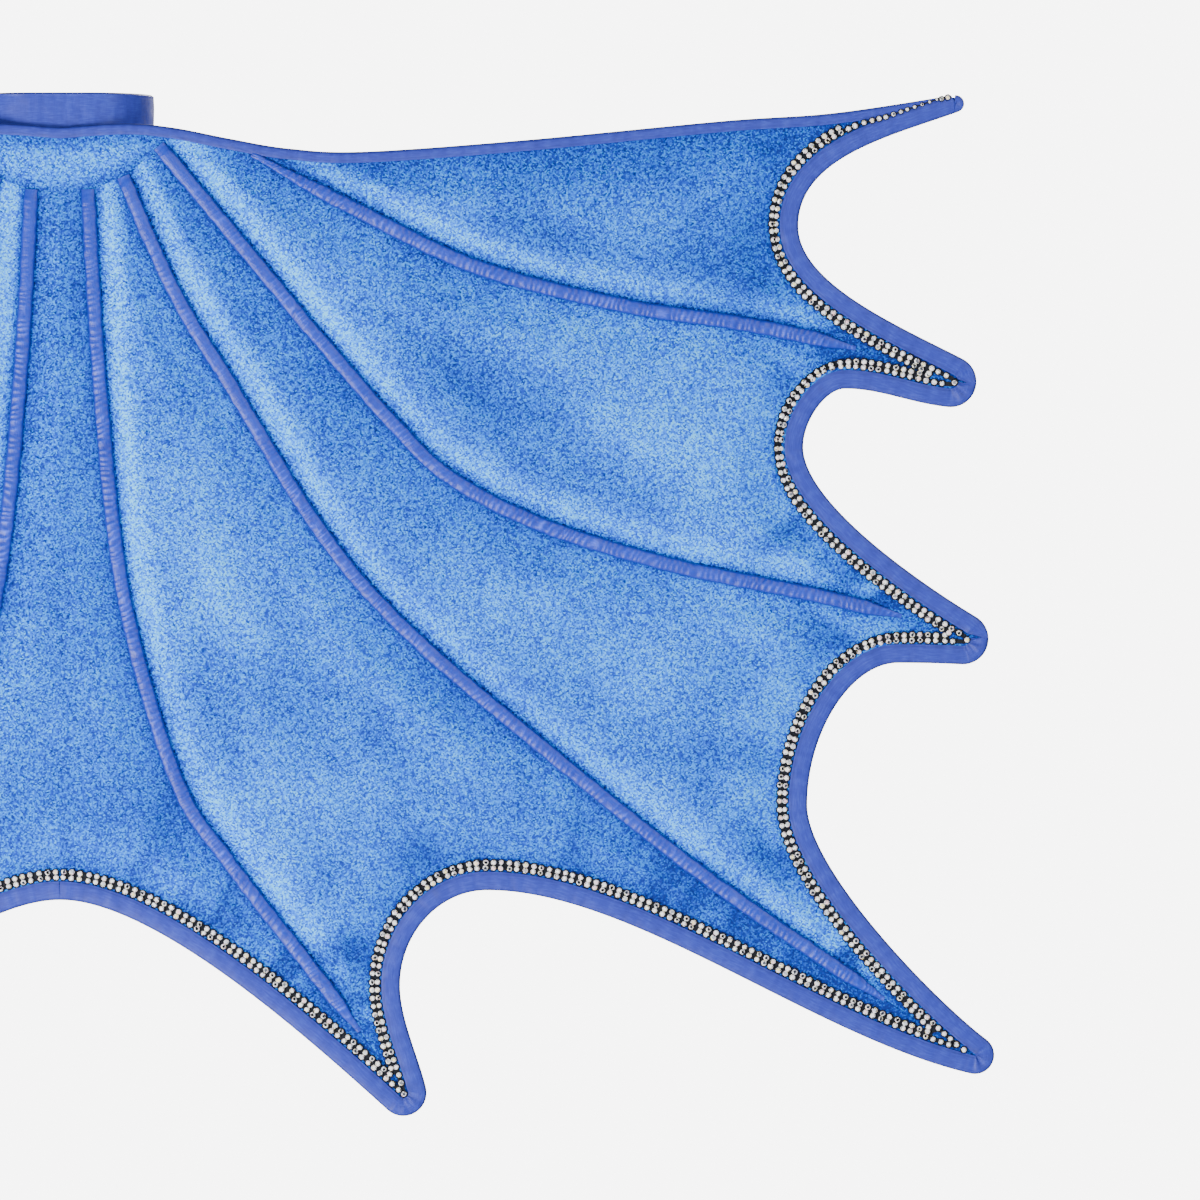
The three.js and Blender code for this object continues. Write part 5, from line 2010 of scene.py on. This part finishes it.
@dataclass
class Neck:
    """The neckband, its closure tab with the tapes, and the wrist loops."""

    wardrobe: Wardrobe
    half_width: float = 54
    half_depth: float = 52
    flat_half: float = 16
    band: float = 2.4
    height: float = 28
    throat: float = 12
    lap: float = 1.6
    tape: float = 0.8
    tape_start: float = 16
    tape_end: float = 36
    tape_height: float = 20
    gap: float = 0.3
    tab: float = 1.6
    tab_height: float = 24
    tab_reach: float = 40

    @cached_property
    def centre_y(self) -> float:
        """Where the neck opening is widest."""
        return -self.half_depth + self.half_width - self.flat_half

    @cached_property
    def rise(self) -> float:
        """How far the throat lies in front of the widest place."""
        return self.half_depth - self.centre_y

    def band_line(self) -> Line:
        """The band's inner line in X and Y, from the left throat end round the back: two
        quarter circles behind, joined by a flat, and half an ellipse in front."""
        radius = self.half_width - self.flat_half
        back = np.linspace(-math.pi / 2, 0, 60)
        corner = radius * np.column_stack([np.cos(back), np.sin(back)])
        corner = corner + np.array([self.flat_half, self.centre_y])
        front = np.linspace(0, math.acos((self.throat - self.lap) / self.half_width), 80)[1:]
        side = np.column_stack([self.half_width * np.cos(front), self.centre_y + self.rise * np.sin(front)])
        right = np.vstack([corner, side])
        return resampled(np.vstack([mirrored(right[::-1]), right]), 0.9)

    def throat_line(self, start: float, stop: float, step: float = 0.8) -> Line:
        """The throat's inner line in X and Y between two values of X."""
        x = np.linspace(start, stop, int(abs(stop - start) / step))
        return np.column_stack([x, self.centre_y + self.rise * np.sqrt(1 - (x / self.half_width) ** 2)])

    def ribbon(
        self, line: Line, out: np.ndarray, thickness: float, height: float, seed: int, wave: float
    ) -> Shell:
        """A flat strap standing on a line: a rounded section with a sewn groove near each
        long edge, carried along the line, with soft puckers between the grooves.

        Args:
            line: the inner line, in X and Y, with the outside on its right.
            out: how far outside the line the strap starts, at each point.
            thickness: the strap's thickness.
            height: its height.
            seed: picks the puckers.
            wave: how deep they are.

        Returns:
            The shell.
        """
        outward = rightwards(line)
        rows = np.linspace(-1, 1, 29)
        edge = 1 - np.abs(rows)
        rounded = np.clip(edge * height / 2 / (thickness / 2), 0, 1)
        round_off = thickness / 2 * (1 - np.sqrt(np.clip(1 - (1 - rounded) ** 2, 0, 1)))
        groove = 0.22 * np.exp(-(((edge * height / 2 - 2.4) / 0.5) ** 2))
        along = lengths(line)[:, None]
        z = rows[None] * height / 2
        noise = soft_noise(along, z * 1.0, 6, seed) + 0.6 * soft_noise(along, z * 0.35, 2.6, seed + 1)
        pucker = wave * noise * eased(edge * height / 2, 0.5, 3)[None]
        outer = out[:, None] + thickness - round_off[None] - groove[None] + pucker
        inner = out[:, None] + round_off[None] + np.clip(groove[None] * 0.4, 0, 1) + 0 * pucker
        distance = np.concatenate([outer, inner[:, ::-1]], axis=1)
        height_rows = np.broadcast_to(np.concatenate([z, z[:, ::-1]], axis=1), distance.shape)
        flat = line[:, None] + outward[:, None] * distance[..., None]
        rings = np.concatenate([flat, height_rows[..., None]], axis=2)
        cloth = np.stack([np.broadcast_to(along, distance.shape), height_rows], axis=2) * MM
        # Painted shade along both long edges, where the strap rounds off.
        fold = np.broadcast_to(np.tile(np.exp(-((edge * height / 2 / 0.8) ** 2)), 2)[None], distance.shape)
        return swept(rings, cloth, {"fold": fold})

    def neckband(self) -> bpy.types.Object:
        """The neckband, open at the throat."""
        line = self.band_line()
        shell = self.ribbon(line, np.zeros(len(line)), self.band, self.height, 21, 0.16)
        piece = make_piece("neckband_strap", shell, [self.wardrobe.satin])
        return seat(piece, None, Finish.SATIN, "neckband")

    def tapes(self) -> list[bpy.types.Object]:
        """The loop tape on the band and the hook tape on the tab."""
        line = self.throat_line(self.tape_start, self.tape_end)
        made = []
        for name, out, body, material in (
            ("loop_tape", self.band + self.gap, "back", self.wardrobe.loops),
            ("hook_tape", self.band + 2 * self.gap + self.tape, "closure", self.wardrobe.hooks),
        ):
            outs = np.full(len(line), out)
            shell = self.ribbon(line[::-1], outs, self.tape, self.tape_height, 33, 0.03)
            piece = make_piece(f"{name}_strip", shell, [material])
            made.append(self.attach(piece, body, name))
        return made

    def attach(self, piece: bpy.types.Object, body: str, node: str) -> bpy.types.Object:
        """Rides a piece on a body, hides the node that it stands for, and logs its faces."""
        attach(piece, body)
        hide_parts(node)
        LOG.info("%s: %d faces", piece.name, len(piece.data.polygons))
        return piece

    def closure(self) -> bpy.types.Object:
        """The tab, which steps out over the tapes."""
        line = self.throat_line(-self.throat + self.gap, self.tab_reach, 0.7)[::-1]
        share = np.linspace(1, 0, len(line))
        first = self.band + self.gap
        last = self.band + 3 * self.gap + 2 * self.tape
        out = first + (last - first) * eased(share, 0, 0.45)
        shell = self.ribbon(line, out, self.tab, self.tab_height, 45, 0.12)
        piece = make_piece("closure_tab_strap", shell, [self.wardrobe.satin])
        return self.attach(piece, "closure", "closure_tab")

    def wrist_loop(self, side: Side) -> bpy.types.Object:
        """A soft elastic loop: a drop-shaped line seen along X, and a thin section with a
        rolled edge carried round it."""
        node = f"{side.word}_wrist_loop"
        low, high = (np.array(corner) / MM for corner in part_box(node))
        thickness, radius = 1.5, 15.8
        centre_y, bottom = low[1] + radius + 0.8, low[2] + radius + 0.8
        back = np.column_stack([np.full(40, centre_y - radius), np.linspace(high[2] - 0.8, bottom, 40)])
        turn = np.linspace(math.pi, 2 * math.pi, 60)
        round_end = np.column_stack([centre_y + radius * np.cos(turn), bottom + radius * np.sin(turn)])
        top = np.array([low[1] + 3.9, high[2] - 0.8])
        rise = (high[2] - bottom) / 2
        front = bezier(round_end[-1], round_end[-1] + (0, rise), top - (-1.5, rise * 1.25), top)
        line = resampled(np.vstack([back, round_end[1:], front[1:]]), 0.8)
        rows = np.linspace(-1, 1, 17)
        edge = (1 - np.abs(rows)) * 6
        round_off = thickness / 2 * (1 - np.sqrt(1 - (1 - np.clip(edge / 0.75, 0, 1)) ** 2))
        ribs = 0.10 * np.cos(rows * 6 / 1.1 * math.pi)
        along = lengths(line)[:, None]
        pull = 0.12 * soft_noise(along, rows[None] * 3, 7, 8)
        half = thickness / 2 - round_off[None]
        distance = np.concatenate([half + ribs * 0.5 + pull, (-half + pull)[:, ::-1]], axis=1)
        normal = rightwards(line)
        flat = line[:, None] + normal[:, None] * distance[..., None]
        x = np.concatenate([rows * 6, rows[::-1] * 6])[None] + 0 * distance
        rings = np.stack([x + (low[0] + high[0]) / 2, flat[..., 0], flat[..., 1]], axis=2)
        cloth = np.stack([np.broadcast_to(along, x.shape), x], axis=2) * MM
        piece = make_piece(f"{node}_band", swept(rings, cloth), [self.wardrobe.elastic])
        return self.attach(piece, f"{side.word}_wrist", node)


@dataclass
class Studio:
    """The pale floor, the soft lights and the camera, which looks squarely at the cape."""

    aim: tuple[float, float, float] = (0.335, -0.058, -0.301)
    frame_width: float = 0.744
    distance: float = 6.0
    floor_z: float = -1.5

    def camera(self) -> None:
        """Aims a long lens along +Y, so that the frame's width fits at the cape."""
        data = bpy.data.cameras.new("camera")
        data.sensor_width = 36
        data.lens = 36 * self.distance / self.frame_width
        data.clip_start, data.clip_end = 0.1, 60
        made = bpy.data.objects.new("camera", data)
        made.location = (self.aim[0], self.aim[1] - self.distance, self.aim[2])
        made.rotation_euler = (math.pi / 2, 0, 0)
        bpy.context.scene.collection.objects.link(made)
        bpy.context.scene.camera = made

    def light(self, name: str, place: Sequence[float], size: float, power: float) -> None:
        """Adds a square soft light that faces the cape."""
        data = bpy.data.lights.new(name, "AREA")
        data.shape, data.size, data.energy = "SQUARE", size, power
        made = bpy.data.objects.new(name, data)
        made.location = place
        towards = Vector(self.aim) - Vector(place)
        made.rotation_euler = towards.to_track_quat("-Z", "Y").to_euler()
        bpy.context.scene.collection.objects.link(made)

    def world(self) -> None:
        """A pale surround: bright where the camera sees it, dimmer as a light."""
        world = bpy.data.worlds.new("surround")
        world.use_nodes = True
        tree = world.node_tree
        seen = tree.nodes.new("ShaderNodeLightPath")
        blend = tree.nodes.new("ShaderNodeMix")
        blend.data_type = "FLOAT"
        tree.links.new(seen.outputs["Is Camera Ray"], blend.inputs[0])
        blend.inputs[2].default_value = 0.45
        blend.inputs[3].default_value = 7.0
        back = tree.nodes["Background"]
        back.inputs["Color"].default_value = (1, 1, 1, 1)
        tree.links.new(blend.outputs[0], back.inputs["Strength"])
        bpy.context.scene.world = world

    def floor(self) -> None:
        """A round pale floor that fades out at its rim."""
        angle = np.linspace(0, 2 * math.pi, 96, endpoint=False)
        points = np.column_stack([np.cos(angle) * 4, np.sin(angle) * 4, np.full(96, self.floor_z)])
        mesh = bpy.data.meshes.new("floor")
        mesh.from_pydata(points.tolist(), [], [list(range(96))])
        s = Shader("floor")
        spot = s.node("ShaderNodeTexCoord", {}, {})
        far = s.node("ShaderNodeVectorMath", {"operation": "LENGTH"}, {0: spot.outputs["Object"]})
        fade = Value(s, far.outputs["Value"]).ranged(1.8, 4.0, 1.0, 0.0)
        mesh.materials.append(s.dress(Base_Color=(0.86, 0.86, 0.86, 1), Roughness=0.9, Alpha=fade))
        made = bpy.data.objects.new("floor", mesh)
        bpy.context.scene.collection.objects.link(made)

    def build(self) -> None:
        """Sets the whole studio up."""
        self.camera()
        self.world()
        self.floor()
        self.light("key", (-1.5, -2.2, -1.25), 1.2, 188)
        self.light("fill", (1.9, -2.6, 1.2), 2.0, 68)
        self.light("back_key", (1.2, 2.6, 1.2), 1.6, 110)
        self.light("back_fill", (-2.2, 2.2, 0.0), 2.0, 50)
        LOG.info("studio built")


def main() -> None:
    """Builds the cape, piece by piece, and the studio round it."""
    logging.basicConfig(level=logging.INFO, format="%(message)s")
    wardrobe = Wardrobe.made()
    cloth, edging, rib, neck = Cloth(wardrobe), Edging(wardrobe), Rib(wardrobe), Neck(wardrobe)
    for side in Side:
        for index in range(5):
            cloth.velvet(index, side)
            edging.binding(index, side)
            edging.stone_trim(index, side)
        for index in range(4):
            rib.casing(index, side)
            rib.stay(index, side)
        cloth.wing_lining(side)
        cloth.centre_lining(side)
        edging.top_binding(side)
        neck.wrist_loop(side)
    cloth.yoke()
    cloth.yoke_lining()
    edging.neckline()
    neck.neckband()
    neck.tapes()
    neck.closure()
    Studio().build()


if __name__ == "__main__":
    main()
